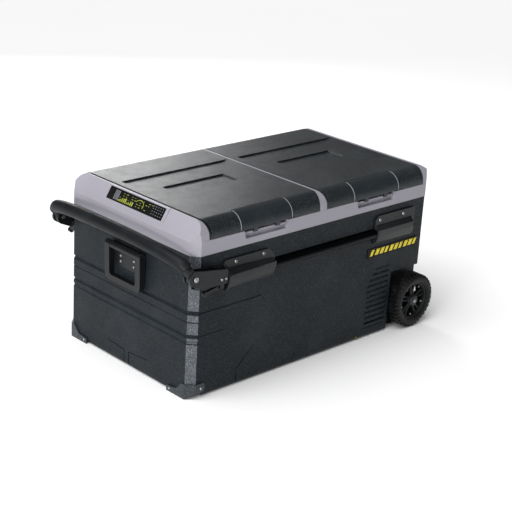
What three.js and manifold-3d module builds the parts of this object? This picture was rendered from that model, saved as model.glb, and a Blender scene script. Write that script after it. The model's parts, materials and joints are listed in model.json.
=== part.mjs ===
// Dual-zone compressor cooler fridge with a telescoping pull handle, two wheels and two latched lids.
// Millimetres, +Z up, +X along the length towards the wheels, origin at the centre of the base.
import * as THREE from "three";
import { mergeVertices } from "three/addons/utils/BufferGeometryUtils.js";
import Module from "manifold-3d";

const wasm = await Module();
wasm.setup();

// ---- driving dimensions -------------------------------------------------------------------------
const GAP = 0.3; // between touching pieces
const HALF_L = 410; // half the bezel's length
const HALF_W = 240; // half the bezel's width
const CORNER = 18.4; // plan chamfer of the upright corners
const BODY_INSET = 0.7; // body walls behind the bezel's face
const WALL = 5.5; // moulded shell wall
const BASE_ROUND = 12; // rounding of the bottom edges
const BEZEL_Z = 360; // bezel's lower edge
const DECK_Z = 395; // face that the lids close on
const TOP_Z = 438; // flat top of the lids
const ROLL_R = 37; // rounding of the lids' long edges

const LID_BOTTOM = DECK_Z + 1;
const LIDS = { left: [-374, -2], right: [8, 385] };
const LID_TAPER = { x: 9, y: ROLL_R };
const FIELD_HALF_W = 106; // recessed field in each lid
const SLOT_HALF_W = 28;
const SLOT_HALF_L = 103;

const MOUTH_HALF_W = 185; // inside width of both tubs
const MOUTHS = { left: [-355, -25], right: [31, 361] };
const TUB_FLOOR = 60;
const SHELF_Z = 235; // shallow floor of the right tub, over the machine bay
const SHELF_X = 150;
const SKIN = 2; // liner wall
const FLANGE_Z = 353.8;

const HINGE = { y: HALF_W + 6.5, z: DECK_Z - 2, pinR: 2.5, lugR: 5.5 };
const FLAP = { halfL: 82, top: 200.8, thick: 6, pocket: 8, axisY: 204, axisZ: 435, pinR: 1.2 };
const HOOKS = { spread: 36, halfW: 6.5, low: 387.5 };
const RECESS = { halfTop: 73, halfLow: 66, low: 375, depth: 14 };

const RAIL = { y: HALF_W, z: 293, outerR: 12, boreR: 10, slideR: 9.5 };
const RAIL_X = [-322, 344];
const CHANNEL = { z0: 278.5, z1: 307.5, deep: 14.5, end: 352 };
const PIVOT = { x: -427, y: 252, z: 321 };

const WHEEL = { x: 361, z: 75, r: 74.5, inner: 223, outer: 269 };
const WELL = { x: 284, y: 214, top: 168 };
const AXLE_R = 6;
const BAY = { x: 186, top: 205 };

const BAIL = { offset: 11.5, z: 308, halfW: 68, drop: 90, legY: 18, legX: 13, barZ: 14 };

// ---- materials ----------------------------------------------------------------------------------
const finish = (color, roughness, metalness = 0) =>
  new THREE.MeshStandardMaterial({ color, roughness, metalness });
const MAT = {
  body: finish(0x262c30, 0.72),
  lid: finish(0x32393c, 0.62),
  bezel: finish(0xaca8b4, 0.5),
  black: finish(0x0f1214, 0.5),
  grip: finish(0x1b1e20, 0.75),
  rubber: finish(0x141414, 0.85),
  display: finish(0x050607, 0.1),
  liner: finish(0xd9dcde, 0.45),
  foam: finish(0xd8c98e, 0.9),
  steel: finish(0xb9bbbd, 0.35, 0.9),
  castIron: finish(0x15171a, 0.6, 0.4),
  aluminium: finish(0xa8abad, 0.4, 0.9),
  board: finish(0x1f5a35, 0.6),
  badge: finish(0x0a0a0a, 0.35),
};

// ---- solids -------------------------------------------------------------------------------------
function solid(geometry) {
  const bare = geometry.index ? geometry.toNonIndexed() : geometry.clone();
  bare.deleteAttribute("normal");
  bare.deleteAttribute("uv");
  const merged = mergeVertices(bare, 1e-4);
  return new wasm.Manifold(
    new wasm.Mesh({
      numProp: 3,
      vertProperties: merged.attributes.position.array,
      triVerts: new Uint32Array(merged.index.array),
    }),
  );
}

function geometryOf(body) {
  const mesh = body.getMesh();
  const positions = new Float32Array(mesh.numVert * 3);
  for (let i = 0; i < mesh.numVert; i++)
    positions.set(mesh.vertProperties.subarray(i * mesh.numProp, i * mesh.numProp + 3), i * 3);
  return new THREE.BufferGeometry()
    .setAttribute("position", new THREE.BufferAttribute(positions, 3))
    .setIndex(new THREE.BufferAttribute(new Uint32Array(mesh.triVerts), 1));
}

const join = (first, ...others) => others.reduce((sum, next) => sum.add(next), first);
const cut = (first, ...tools) => tools.reduce((rest, tool) => rest.subtract(tool), first);

const shapeOf = (points) => new THREE.Shape(points.map(([a, b]) => new THREE.Vector2(a, b)));

function extruded(points, depth, holes = [], options = {}) {
  const shape = shapeOf(points);
  for (const hole of holes) shape.holes.push(shapeOf(hole));
  return new THREE.ExtrudeGeometry(shape, { depth, bevelEnabled: false, ...options });
}

const AXIS = {
  x: new THREE.Vector3(1, 0, 0),
  y: new THREE.Vector3(0, 1, 0),
  z: new THREE.Vector3(0, 0, 1),
};
const TURN = {
  x: new THREE.Matrix4().makeBasis(AXIS.y, AXIS.z, AXIS.x),
  y: new THREE.Matrix4().makeBasis(AXIS.x, AXIS.z, AXIS.y.clone().negate()),
};

// Prisms: an outline drawn across one axis and run along it.
const prismX = (outlineYZ, x0, x1, holes) =>
  solid(extruded(outlineYZ, x1 - x0, holes).applyMatrix4(TURN.x).translate(x0, 0, 0));
const prismY = (outlineXZ, y0, y1, holes) =>
  solid(extruded(outlineXZ, y1 - y0, holes).applyMatrix4(TURN.y).translate(0, y1, 0));
const prismZ = (outlineXY, z0, z1, holes) =>
  solid(extruded(outlineXY, z1 - z0, holes).translate(0, 0, z0));
const block = (x0, x1, y0, y1, z0, z1) =>
  solid(
    new THREE.BoxGeometry(x1 - x0, y1 - y0, z1 - z0).translate(
      (x0 + x1) / 2,
      (y0 + y1) / 2,
      (z0 + z1) / 2,
    ),
  );

function rod(axis, radius, from, to, [a, b], sides = 16, farRadius = radius) {
  const geometry = new THREE.CylinderGeometry(farRadius, radius, to - from, sides);
  const middle = (from + to) / 2;
  if (axis === "x") return solid(geometry.rotateZ(-Math.PI / 2).translate(middle, a, b));
  if (axis === "y") return solid(geometry.translate(a, middle, b));
  return solid(geometry.rotateX(Math.PI / 2).translate(a, b, middle));
}

function turned(profile, axis, [a, b], sides) {
  const geometry = new THREE.LatheGeometry(
    profile.map(([r, h]) => new THREE.Vector2(r, h)),
    sides,
  );
  const body = solid(axis === "z" ? geometry.rotateX(Math.PI / 2) : geometry);
  const placed = axis === "z" ? body.translate([a, b, 0]) : body.translate([a, 0, b]);
  return placed.volume() < 0 ? solid(flipped(geometryOf(placed))) : placed;
}

function flipped(geometry) {
  const index = geometry.index.array;
  for (let i = 0; i < index.length; i += 3)
    [index[i + 1], index[i + 2]] = [index[i + 2], index[i + 1]];
  return geometry;
}

// A closed solid through rings of matching points.
function lofted(rings) {
  const count = rings[0].length;
  const positions = rings.flat(2);
  const triangles = [];
  for (let r = 0; r + 1 < rings.length; r++)
    for (let i = 0; i < count; i++) {
      const [a, b] = [r * count + i, r * count + ((i + 1) % count)];
      triangles.push(a, b, b + count, a, b + count, a + count);
    }
  const end = (rings.length - 1) * count;
  for (let i = 1; i + 1 < count; i++) {
    triangles.push(0, i + 1, i);
    triangles.push(end, end + i, end + i + 1);
  }
  const geometry = new THREE.BufferGeometry()
    .setAttribute("position", new THREE.BufferAttribute(new Float32Array(positions), 3))
    .setIndex(triangles);
  const body = solid(geometry);
  return body.volume() < 0 ? solid(flipped(geometry)) : body;
}

function swept(curve, radius, sides, steps, boreRadius = 0) {
  const ring = (r) =>
    Array.from({ length: sides }, (_, i) => {
      const a = (2 * Math.PI * i) / sides;
      return [r * Math.cos(a), r * Math.sin(a)];
    });
  const holes = boreRadius ? [ring(boreRadius)] : [];
  return solid(extruded(ring(radius), 1, holes, { steps, extrudePath: curve }));
}

const mirrored = (body) => {
  const copy = geometryOf(body).scale(1, -1, 1);
  return solid(flipped(copy));
};

// ---- outlines -----------------------------------------------------------------------------------
function chamferedRect(x0, x1, y0, y1, cx, cy = cx) {
  return [
    [x0 + cx, y0],
    [x1 - cx, y0],
    [x1, y0 + cy],
    [x1, y1 - cy],
    [x1 - cx, y1],
    [x0 + cx, y1],
    [x0, y1 - cy],
    [x0, y0 + cy],
  ];
}

function roundedRect(x0, x1, y0, y1, r, steps = 3) {
  const centres = [
    [x1 - r, y1 - r, 0],
    [x0 + r, y1 - r, 1],
    [x0 + r, y0 + r, 2],
    [x1 - r, y0 + r, 3],
  ];
  return centres.flatMap(([cx, cy, quarter]) =>
    Array.from({ length: steps + 1 }, (_, i) => {
      const a = ((quarter + i / steps) * Math.PI) / 2;
      return [cx + r * Math.cos(a), cy + r * Math.sin(a)];
    }),
  );
}

// The same outline with every edge moved inwards by d (the points run anticlockwise).
function inset(points, d) {
  return points.map((p, i) => {
    const before = points[(i + points.length - 1) % points.length];
    const after = points[(i + 1) % points.length];
    const [u, v] = [unit(before, p), unit(p, after)];
    const [n, m] = [
      [-u[1], u[0]],
      [-v[1], v[0]],
    ];
    const k = d / (1 + n[0] * m[0] + n[1] * m[1]);
    return [p[0] + k * (n[0] + m[0]), p[1] + k * (n[1] + m[1])];
  });
}

function unit(from, to) {
  const length = Math.hypot(to[0] - from[0], to[1] - from[1]);
  return [(to[0] - from[0]) / length, (to[1] - from[1]) / length];
}

const circle = (cx, cy, r, sides) =>
  Array.from({ length: sides }, (_, i) => {
    const a = (2 * Math.PI * i) / sides;
    return [cx + r * Math.cos(a), cy + r * Math.sin(a)];
  });

// Section of the lids across the width: flat top, rounded down over both long sides.
function rolled(inset, low, steps = 6) {
  const [half, top, r] = [HALF_W - inset, TOP_Z - inset, ROLL_R - inset];
  const arc = (side) =>
    Array.from({ length: steps + 1 }, (_, i) => {
      const a = (i / steps) * (Math.PI / 2);
      return [side * (half - r + r * Math.cos(a)), top - r + r * Math.sin(a)];
    });
  return [[half, low], ...arc(1), ...arc(-1).reverse(), [-half, low]];
}

const bodyPlan = (inset) => {
  const grow = BODY_INSET + inset;
  return chamferedRect(
    -HALF_L + grow,
    HALF_L - grow,
    -HALF_W + grow,
    HALF_W - grow,
    CORNER - 0.586 * inset,
  );
};
const bezelPlan = (inset) =>
  chamferedRect(
    -HALF_L + inset,
    HALF_L - inset,
    -HALF_W + inset,
    HALF_W - inset,
    CORNER - 0.586 * inset,
  );
// The lids taper at the latch side only: straight ends at the hinge side leave room to swing.
const lidPlan = ([x0, x1], grow = 0) => [
  [x0 - grow + LID_TAPER.x, -HALF_W - grow - 1],
  [x1 + grow - LID_TAPER.x, -HALF_W - grow - 1],
  [x1 + grow, -HALF_W + LID_TAPER.y - 1],
  [x1 + grow, HALF_W + grow + 1],
  [x0 - grow, HALF_W + grow + 1],
  [x0 - grow, -HALF_W + LID_TAPER.y - 1],
];

// ---- the group ----------------------------------------------------------------------------------
const fridge = new THREE.Group();

function add(name, body, material) {
  const mesh = new THREE.Mesh(geometryOf(body), material);
  mesh.name = name;
  fridge.add(mesh);
}

// ---- outer shell, base pan and foam -------------------------------------------------------------
const VENT_OUTLINE = [
  [188, 22],
  [279, 22],
  [279, 197],
  [222, 197],
  [188, 150],
];
const VENT_HOLE = [
  [193, 27],
  [274, 27],
  [274, 192],
  [225, 192],
  [193, 148],
];

function wells(grow) {
  const one = (y0, y1) =>
    block(WELL.x - grow, HALF_L + 20, y0, y1, -5, WELL.top + grow);
  return join(
    one(WELL.y - grow, HALF_W + 20),
    one(-HALF_W - 20, -WELL.y + grow),
  );
}

function channels(grow) {
  const one = (y0, y1) =>
    block(-HALF_L - 20, CHANNEL.end + grow, y0, y1, CHANNEL.z0 - grow, CHANNEL.z1 + grow);
  const inner = HALF_W - CHANNEL.deep - grow;
  return join(one(inner, HALF_W + 20), one(-HALF_W - 20, -inner));
}

// A groove with sloped walls round the handle end, down both long sides as far as x = end.
function endGroove({ low, high, depth, end }) {
  const ring = (z, inset) => bodyPlan(inset).map(([x, y]) => [x, y, z]);
  const slope = Math.min(depth, (high - low) / 2 - 0.4);
  const left = lofted([
    ring(low - 0.01, -0.02),
    ring(low + slope, depth),
    ring(high - slope, depth),
    ring(high + 0.01, -0.02),
  ]);
  const band = prismZ(bezelPlan(-5), low, high).subtract(left);
  return band.intersect(block(-HALF_L - 10, end, -HALF_W - 10, HALF_W + 10, 0, BEZEL_Z));
}
const GROOVES = [
  { low: 213.5, high: 224.5, depth: 4, end: -388 },
  { low: 216.5, high: 221.5, depth: 1.8, end: -194 },
  { low: 194, high: 197, depth: 1.4, end: -388 },
  { low: 155, high: 165, depth: 3.6, end: -388 },
  { low: 158, high: 162, depth: 1.4, end: -303 },
  { low: 139, high: 148, depth: 2, end: -388 },
];

// Narrow seams drawn as lines on the long sides and on the handle end.
const SEAM = { width: 2.6, depth: 2 };
const SIDE_SEAMS = [
  [
    [-262, -5],
    [-262, 43],
    [-209, 91],
  ],
  [
    [-84, -5],
    [-62, 28],
  ],
];
const END_SEAM = [
  [9, -5],
  [9, 40],
  [77, 45],
];

function strokes(points) {
  return points.slice(1).map((to, i) => {
    const [u, v] = unit(points[i], to).map((c) => (c * SEAM.width) / 2);
    const [from, at] = [points[i], to];
    return [
      [from[0] + v - u, from[1] - u - v],
      [at[0] + v + u, at[1] - u + v],
      [at[0] - v + u, at[1] + u + v],
      [from[0] - v - u, from[1] + u - v],
    ];
  });
}

function seams() {
  const face = HALF_W - BODY_INSET;
  const end = -HALF_L + BODY_INSET;
  const onSides = SIDE_SEAMS.flatMap(strokes).flatMap((outline) => [
    prismY(outline, -face - 5, -face + SEAM.depth),
    prismY(outline, face - SEAM.depth, face + 5),
  ]);
  const mirroredSeam = END_SEAM.map(([y, z]) => [-y, z]);
  const onEnd = [...strokes(END_SEAM), ...strokes(mirroredSeam)].map((outline) =>
    prismX(outline, end - 5, end + SEAM.depth),
  );
  return [...onSides, ...onEnd];
}

// What a large rounding takes off the long bottom edges near the handle end.
const FOOT_ROUND = { r: 28, x: -368 };
function footRounding(x1, r) {
  const centre = HALF_W - BODY_INSET - FOOT_ROUND.r;
  const one = (s) => {
    const [y0, y1] = s < 0 ? [-HALF_W - 20, -centre] : [centre, HALF_W + 20];
    return block(-HALF_L - 20, x1, y0, y1, -5, FOOT_ROUND.r).subtract(
      rod("x", r, -HALF_L - 21, x1 + 1, [s * centre, FOOT_ROUND.r], 40),
    );
  };
  return join(one(-1), one(1));
}

const PAN = { x0: -370, x1: 270, y: 195, plate: 8 };
const SOCKET = { y: 110, z: 180, w: 26, h: 16 };

function outerShell() {
  const rounding = {
    bevelEnabled: true,
    bevelThickness: BASE_ROUND,
    bevelSize: BASE_ROUND,
    bevelOffset: -BASE_ROUND,
    bevelSegments: 3,
  };
  const tall = extruded(bodyPlan(0), BEZEL_Z + 20, [], rounding).translate(0, 0, BASE_ROUND);
  const outer = solid(tall).intersect(block(-500, 500, -300, 300, -1, BEZEL_Z - GAP));
  const inside = cut(
    prismZ(bodyPlan(WALL), PAN.plate, BEZEL_Z + 20),
    wells(3),
    channels(3),
    footRounding(FOOT_ROUND.x + WALL, FOOT_ROUND.r - WALL),
  );
  const vent = prismY(VENT_HOLE, -HALF_W - 5, HALF_W + 5);
  const ventSeat = join(
    prismY(VENT_OUTLINE, -HALF_W - 5, -HALF_W + BODY_INSET + 2.6),
    prismY(VENT_OUTLINE, HALF_W - BODY_INSET - 2.6, HALF_W + 5),
  );
  return cut(
    outer,
    inside,
    wells(0),
    channels(0),
    footRounding(FOOT_ROUND.x, FOOT_ROUND.r),
    ...GROOVES.map(endGroove),
    ...seams(),
    ventSeat,
    vent,
    block(PAN.x0, PAN.x1, -PAN.y, PAN.y, -1, PAN.plate + 1),
    rod("y", AXLE_R + 0.6, -WELL.y - 5, WELL.y + 5, [WHEEL.x, WHEEL.z]),
    block(
      HALF_L - 10,
      HALF_L + 5,
      SOCKET.y - SOCKET.w,
      SOCKET.y + SOCKET.w,
      SOCKET.z - SOCKET.h,
      SOCKET.z + SOCKET.h,
    ),
  );
}
add("outer_shell", outerShell(), MAT.body);

const basePan = join(
  block(PAN.x0 + 0.5, PAN.x1 - 0.5, -PAN.y + 0.5, PAN.y - 0.5, 0, PAN.plate + 1),
  block(PAN.x0 - 10, PAN.x1 + 10, -PAN.y - 10, PAN.y + 10, PAN.plate + GAP, 11.5),
);
add("base_pan", basePan, MAT.body);

const mouthPlan = ([x0, x1], grow) =>
  roundedRect(x0 - grow, x1 + grow, -MOUTH_HALF_W - grow, MOUTH_HALF_W + grow, 22 + grow);

function rightTub(grow, top) {
  const [x0, x1] = MOUTHS.right;
  const outline = [
    [x0 - grow, TUB_FLOOR - grow],
    [SHELF_X + grow, TUB_FLOOR - grow],
    [SHELF_X + grow, SHELF_Z - grow],
    [x1 + grow, SHELF_Z - grow],
    [x1 + grow, top],
    [x0 - grow, top],
  ];
  const half = MOUTH_HALF_W + grow;
  return prismY(outline, -half, half).intersect(prismZ(mouthPlan(MOUTHS.right, grow), 0, top));
}

function leftTub(grow, top) {
  return prismZ(mouthPlan(MOUTHS.left, grow), TUB_FLOOR - grow, top);
}

const FOAM_TOP = FLANGE_Z - GAP;
const foam = cut(
  prismZ(bodyPlan(WALL + GAP), 12, FOAM_TOP),
  leftTub(SKIN + GAP, BEZEL_Z),
  rightTub(SKIN + GAP, BEZEL_Z),
  block(BAY.x, HALF_L, -HALF_W, HALF_W, 5, BAY.top),
  channels(3 + GAP),
  footRounding(FOOT_ROUND.x + WALL + 1, FOOT_ROUND.r - WALL - GAP),
);
add("foam_insulation", foam, MAT.foam);

// ---- tubs ---------------------------------------------------------------------------------------
const tubFlange = ([x0, x1]) =>
  prismZ(roundedRect(x0 - 13, x1 + 13, -MOUTH_HALF_W - 15, MOUTH_HALF_W + 15, 24), FLANGE_Z, 356);

add(
  "liner_left",
  cut(join(leftTub(SKIN, 356), tubFlange(MOUTHS.left)), leftTub(0, BEZEL_Z)),
  MAT.liner,
);
add(
  "liner_right",
  cut(join(rightTub(SKIN, 356), tubFlange(MOUTHS.right)), rightTub(0, BEZEL_Z)),
  MAT.liner,
);

// ---- bezel with its console, lid divider, latch recesses and hinge lugs --------------------------
const lidCentre = (side) => (LIDS[side][0] + LIDS[side][1]) / 2;
const CONSOLE = { footX: -HALF_L, footZ: 392, headX: -381.5, headZ: 438.5, podHalf: 114 };
const slopeLength = Math.hypot(CONSOLE.headX - CONSOLE.footX, CONSOLE.headZ - CONSOLE.footZ);
const SLOPE = [
  (CONSOLE.headX - CONSOLE.footX) / slopeLength,
  (CONSOLE.headZ - CONSOLE.footZ) / slopeLength,
];

// A point on the console's slope: up along it, and out from it.
const onSlope = (up, out) => [
  CONSOLE.footX + up * SLOPE[0] - out * SLOPE[1],
  CONSOLE.footZ + up * SLOPE[1] + out * SLOPE[0],
];
const slopeBar = (up0, up1, out0, out1, halfW) =>
  prismY(
    [onSlope(up0, out0), onSlope(up1, out0), onSlope(up1, out1), onSlope(up0, out1)],
    -halfW,
    halfW,
  );

const HINGE_SPREAD = 110;
const LUG = { halfW: 9, gap: 0.5, armHalf: 20 };

function hingeLug(x0, x1, reachY, reachZ0, reachZ1) {
  const knuckle = rod("x", HINGE.lugR, x0, x1, [HINGE.y, HINGE.z], 12);
  const arm = block(x0, x1, reachY, HINGE.y, reachZ0, reachZ1);
  return join(knuckle, arm);
}

const hingeBore = (x0, x1) => rod("x", HINGE.pinR + 0.4, x0, x1, [HINGE.y, HINGE.z], 12);

function latchRecess(centre, grow = 0) {
  const outline = [
    [centre - RECESS.halfLow - grow, RECESS.low - grow],
    [centre + RECESS.halfLow + grow, RECESS.low - grow],
    [centre + RECESS.halfTop + grow, DECK_Z + 2],
    [centre - RECESS.halfTop - grow, DECK_Z + 2],
  ];
  return prismY(outline, -HALF_W - 5, -HALF_W + RECESS.depth + grow);
}

function bezelFrame() {
  const upper = prismX(rolled(0.8, DECK_Z - 5), -HALF_L, HALF_L).intersect(
    prismZ(bezelPlan(0), DECK_Z - 5, TOP_Z),
  );
  const lids = [
    prismZ(lidPlan([LIDS.left[0] - 1.2, LIDS.left[1]], 1.2), DECK_Z, TOP_Z + 5),
    prismZ(lidPlan([LIDS.right[0], LIDS.right[1] + 0.8], 1.2), DECK_Z, TOP_Z + 5),
  ];
  const far = 60;
  const farSlope = prismY(
    [
      [HALF_L + 1, 421],
      [HALF_L - 4, 430],
      [395, TOP_Z + 1],
      [HALF_L + 1, TOP_Z + 1],
    ],
    -HALF_W - 5,
    HALF_W + 5,
  );
  const beside = (y0, y1) =>
    prismY(
      [onSlope(4, 0), onSlope(slopeLength + 8, -3), onSlope(slopeLength + far, far), onSlope(4, far)],
      y0,
      y1,
    );
  const collars = Object.values(MOUTHS).map((span) => prismZ(mouthPlan(span, 3), 356.3, DECK_Z));
  const cavity = cut(
    prismZ(bezelPlan(3.5), BEZEL_Z - 10, DECK_Z - 3.5),
    ...collars,
    latchRecess(lidCentre("left"), 3),
    latchRecess(lidCentre("right"), 3),
  );
  const boardRoom = block(-400, -378, -100, 100, 355, 400);
  const frame = cut(
    join(prismZ(bezelPlan(0), BEZEL_Z, DECK_Z), upper, ...collars),
    ...lids,
    slopeBar(-10, far + 20, 0, far, HALF_W + 5),
    beside(CONSOLE.podHalf, HALF_W + 5),
    beside(-HALF_W - 5, -CONSOLE.podHalf),
    farSlope,
    ...Object.values(MOUTHS).map((span) => prismZ(mouthPlan(span, 0), 350, TOP_Z)),
    cavity,
    boardRoom,
    slopeBar(SCREEN.up0 - GAP, SCREEN.up1 + GAP, -SCREEN.thick - GAP, 5, SCREEN.halfW + GAP),
  );
  let whole = frame;
  for (const side of ["left", "right"]) {
    const centre = lidCentre(side);
    whole = whole.subtract(latchRecess(centre));
    const bar = block(centre - 72, centre + 72, -233.5, -229, 383.5, 389);
    const sill = block(centre - 70, centre + 70, -231, -225, 374, 386);
    whole = join(whole, bar, sill);
    for (const x of [centre - HINGE_SPREAD, centre + HINGE_SPREAD])
      for (const s of [-1, 1]) {
        const edge = x + s * (LUG.halfW + LUG.gap);
        const [x0, x1] = s < 0 ? [edge - 8, edge] : [edge, edge + 8];
        whole = whole.add(hingeLug(x0, x1, HALF_W - 2, HINGE.z - HINGE.lugR, HINGE.z));
      }
    whole = whole.subtract(hingeBore(centre - 150, centre + 150));
  }
  return whole;
}

const SCREEN = { up0: 18, up1: 50, halfW: 104, thick: 2 };
add("bezel_frame", bezelFrame(), MAT.bezel);
add(
  "control_window",
  slopeBar(SCREEN.up0, SCREEN.up1, -SCREEN.thick, -0.1, SCREEN.halfW),
  MAT.display,
);
add(
  "control_board",
  join(block(-394, -392.4, -95, 95, 362, 396), block(-392.5, -388, -60, -20, 368, 388)),
  MAT.board,
);

// ---- lids and latches ---------------------------------------------------------------------------
function lidCover(side) {
  const [x0, x1] = LIDS[side];
  const centre = lidCentre(side);
  const skin = prismX(rolled(0, LID_BOTTOM), x0, x1).intersect(
    prismZ(lidPlan(LIDS[side]), LID_BOTTOM, TOP_Z + 1),
  );
  const [p0, p1] = [centre - FLAP.halfL, centre + FLAP.halfL];
  const pocketBox = (grow) =>
    block(p0 - grow, p1 + grow, -HALF_W - 5, -FLAP.top + 2.3 + grow, LID_BOTTOM - 5, TOP_Z + 5);
  const pocket = cut(pocketBox(0), prismX(rolled(FLAP.pocket, LID_BOTTOM - 9), x0 - 5, x1 + 5));
  const cavityPlan = prismZ(
    chamferedRect(x0 + 3, x1 - 3, -HALF_W + 3, HALF_W - 3, LID_TAPER.x, LID_TAPER.y),
    LID_BOTTOM - 1,
    TOP_Z - 12,
  );
  const cavity = prismX(rolled(3, LID_BOTTOM - 1), x0, x1).intersect(cavityPlan);
  const deeper = cut(pocketBox(3), prismX(rolled(FLAP.pocket + 3, LID_BOTTOM - 9), x0 - 5, x1 + 5));
  const field = prismY(
    [
      [x0 + 20, TOP_Z + 1],
      [x0 + 24, TOP_Z - 4],
      [x1 - 23, TOP_Z - 4],
      [x1 - 3, TOP_Z + 0.2],
      [x1 - 3, TOP_Z + 1],
    ],
    -FIELD_HALF_W,
    FIELD_HALF_W,
  );
  const slot = prismY(
    [
      [centre - SLOT_HALF_L, TOP_Z],
      [centre - SLOT_HALF_L + 4, TOP_Z - 8],
      [centre + SLOT_HALF_L - 12, TOP_Z - 8],
      [centre + SLOT_HALF_L, TOP_Z],
    ],
    -SLOT_HALF_W,
    SLOT_HALF_W,
  );
  const line = (half, low, [from, to]) =>
    block(from, to, -half - 1.8, -half + 0.1, low, TOP_Z + 1);
  const lines = join(
    line(FIELD_HALF_W, TOP_Z - 1.6, [x0 + 22, x1 - 24]),
    line(SLOT_HALF_W, TOP_Z - 5.4, [centre - SLOT_HALF_L + 2, centre + SLOT_HALF_L - 6]),
  );
  let cover = cut(skin, cut(cavity, deeper), pocket, field, slot, lines);
  for (const x of [centre - HINGE_SPREAD, centre + HINGE_SPREAD])
    cover = cover.add(
      hingeLug(x - LUG.halfW, x + LUG.halfW, HALF_W - 2, HINGE.z + 3.2, HINGE.z + HINGE.lugR + 6),
    );
  const pinHole = rod("x", FLAP.pinR + 0.4, p0 - 4, p1 + 4, [-FLAP.axisY, FLAP.axisZ], 8);
  return cut(cover, hingeBore(centre - 150, centre + 150), pinHole);
}

const PLUG = { low: 383, plate: 399, top: 402, clear: 5 };

function lidInner(side) {
  const [x0, x1] = LIDS[side];
  const [m0, m1] = MOUTHS[side];
  const plate = prismZ(
    chamferedRect(x0 + 4, x1 - 4, -HALF_W + 14, HALF_W - 4, LID_TAPER.x, ROLL_R),
    PLUG.plate,
    PLUG.top,
  );
  const plug = prismZ(
    roundedRect(
      m0 + PLUG.clear,
      m1 - PLUG.clear,
      -MOUTH_HALF_W + PLUG.clear,
      MOUTH_HALF_W - PLUG.clear,
      18,
    ),
    PLUG.low,
    PLUG.plate + 1,
  );
  return join(plate, plug);
}

const gasketPlan = ([m0, m1], grow) =>
  roundedRect(
    m0 - 4 - grow,
    m1 + 4 + grow,
    -MOUTH_HALF_W - 4 - grow,
    MOUTH_HALF_W + 4 + grow,
    24 + grow,
  );

function latchFlap(side) {
  const centre = lidCentre(side);
  const [p0, p1] = [centre - FLAP.halfL + 1.3, centre + FLAP.halfL - 1.3];
  const curved = cut(
    prismX(rolled(-0.4, 397.2), p0, p1),
    prismX(rolled(FLAP.thick, 390), p0 - 5, p1 + 5),
  ).intersect(block(p0, p1, -HALF_W - 5, -FLAP.top, 397, TOP_Z + 5));
  const hooks = [-1, 1].map((s) => {
    const x = centre + s * HOOKS.spread;
    return block(x - HOOKS.halfW, x + HOOKS.halfW, -HALF_W, -235.2, HOOKS.low, 400);
  });
  const bore = rod("x", FLAP.pinR + 0.35, p0 - 2, p1 + 2, [-FLAP.axisY, FLAP.axisZ], 8);
  return join(curved, ...hooks).subtract(bore);
}

for (const side of ["left", "right"]) {
  const centre = lidCentre(side);
  const [x0, x1] = LIDS[side];
  add(`lid_${side}_cover`, lidCover(side), MAT.lid);
  add(`lid_${side}_inner`, lidInner(side), MAT.liner);
  add(
    `lid_${side}_foam`,
    block(x0 + 20, x1 - 20, -190, HALF_W - 42, PLUG.top + GAP, TOP_Z - 12 - GAP),
    MAT.foam,
  );
  add(
    `lid_${side}_gasket`,
    prismZ(gasketPlan(MOUTHS[side], 9), DECK_Z + GAP, PLUG.plate - GAP, [
      gasketPlan(MOUTHS[side], 0),
    ]),
    MAT.rubber,
  );
  add(
    `hinge_pin_${side}`,
    rod("x", HINGE.pinR, centre - 134, centre + 134, [HINGE.y, HINGE.z], 12),
    MAT.steel,
  );
  add(`latch_${side}`, latchFlap(side), MAT.black);
  add(
    `latch_pin_${side}`,
    rod(
      "x",
      FLAP.pinR,
      centre - FLAP.halfL - 3.5,
      centre + FLAP.halfL + 3.5,
      [-FLAP.axisY, FLAP.axisZ],
      8,
    ),
    MAT.steel,
  );
}

// ---- vents, badge, corner guards, power inlet ----------------------------------------------------
const SLATS = { count: 11, first: 34.5, pitch: 15, rise: 6, lean: 3.4 };

function ventGrille() {
  const face = -HALF_W + BODY_INSET;
  const seat = prismY(inset(VENT_OUTLINE, GAP), face, face + 2.3);
  const frame = cut(seat, prismY(inset(VENT_OUTLINE, 5), -HALF_W - 5, -HALF_W + 10));
  const slat = (z) =>
    prismX(
      [
        [face + 0.4, z - SLATS.rise],
        [face + 2.3, z - SLATS.rise + SLATS.lean],
        [face + 2.3, z + SLATS.rise],
        [face + 0.4, z + SLATS.rise - SLATS.lean],
      ],
      180,
      HALF_L,
    ).intersect(seat);
  const slats = Array.from({ length: SLATS.count }, (_, i) => slat(SLATS.first + i * SLATS.pitch));
  return join(frame, ...slats);
}

const ventBody = ventGrille();
add("vent_grille_near", ventBody, MAT.body);
add("vent_grille_far", mirrored(ventBody), MAT.body);

add(
  "badge",
  prismY(
    [
      [180, 228],
      [370, 228],
      [376, 253],
      [182, 253],
    ],
    -HALF_W - 1.2,
    -HALF_W + BODY_INSET - GAP,
  ),
  MAT.badge,
);

const GUARD = { thick: 4, top: 38, endX: -364, endY: -160 };

function cornerGuard() {
  const { thick, top, endX, endY } = GUARD;
  const { x, r } = FOOT_ROUND;
  const outer = cut(prismZ(bezelPlan(-thick + BODY_INSET), 0, top), footRounding(endX + 1, r + thick));
  const inner = cut(prismZ(bodyPlan(-GAP), -1, top + 10), footRounding(x, r + GAP));
  const foot = block(-HALF_L - 20, endX, -HALF_W - 20, endY, -1, top + 1);
  const arms = join(
    block(-HALF_L - 20, -388, -HALF_W - 20, -216, -1, top + 1),
    prismX(
      [
        [-221, -1],
        [endY, -1],
        [endY, 13],
        [endY - 34, 17],
        [-214, top],
        [-221, top],
      ],
      -HALF_L - 20,
      -380,
    ),
    prismY(
      [
        [-392, -1],
        [endX - 0.5, -1],
        [endX - 0.5, 32],
        [-370, top],
        [-392, top],
      ],
      -HALF_W - 20,
      -HALF_W + 45,
    ),
  );
  return cut(outer, inner).intersect(foot).intersect(arms);
}

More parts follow.
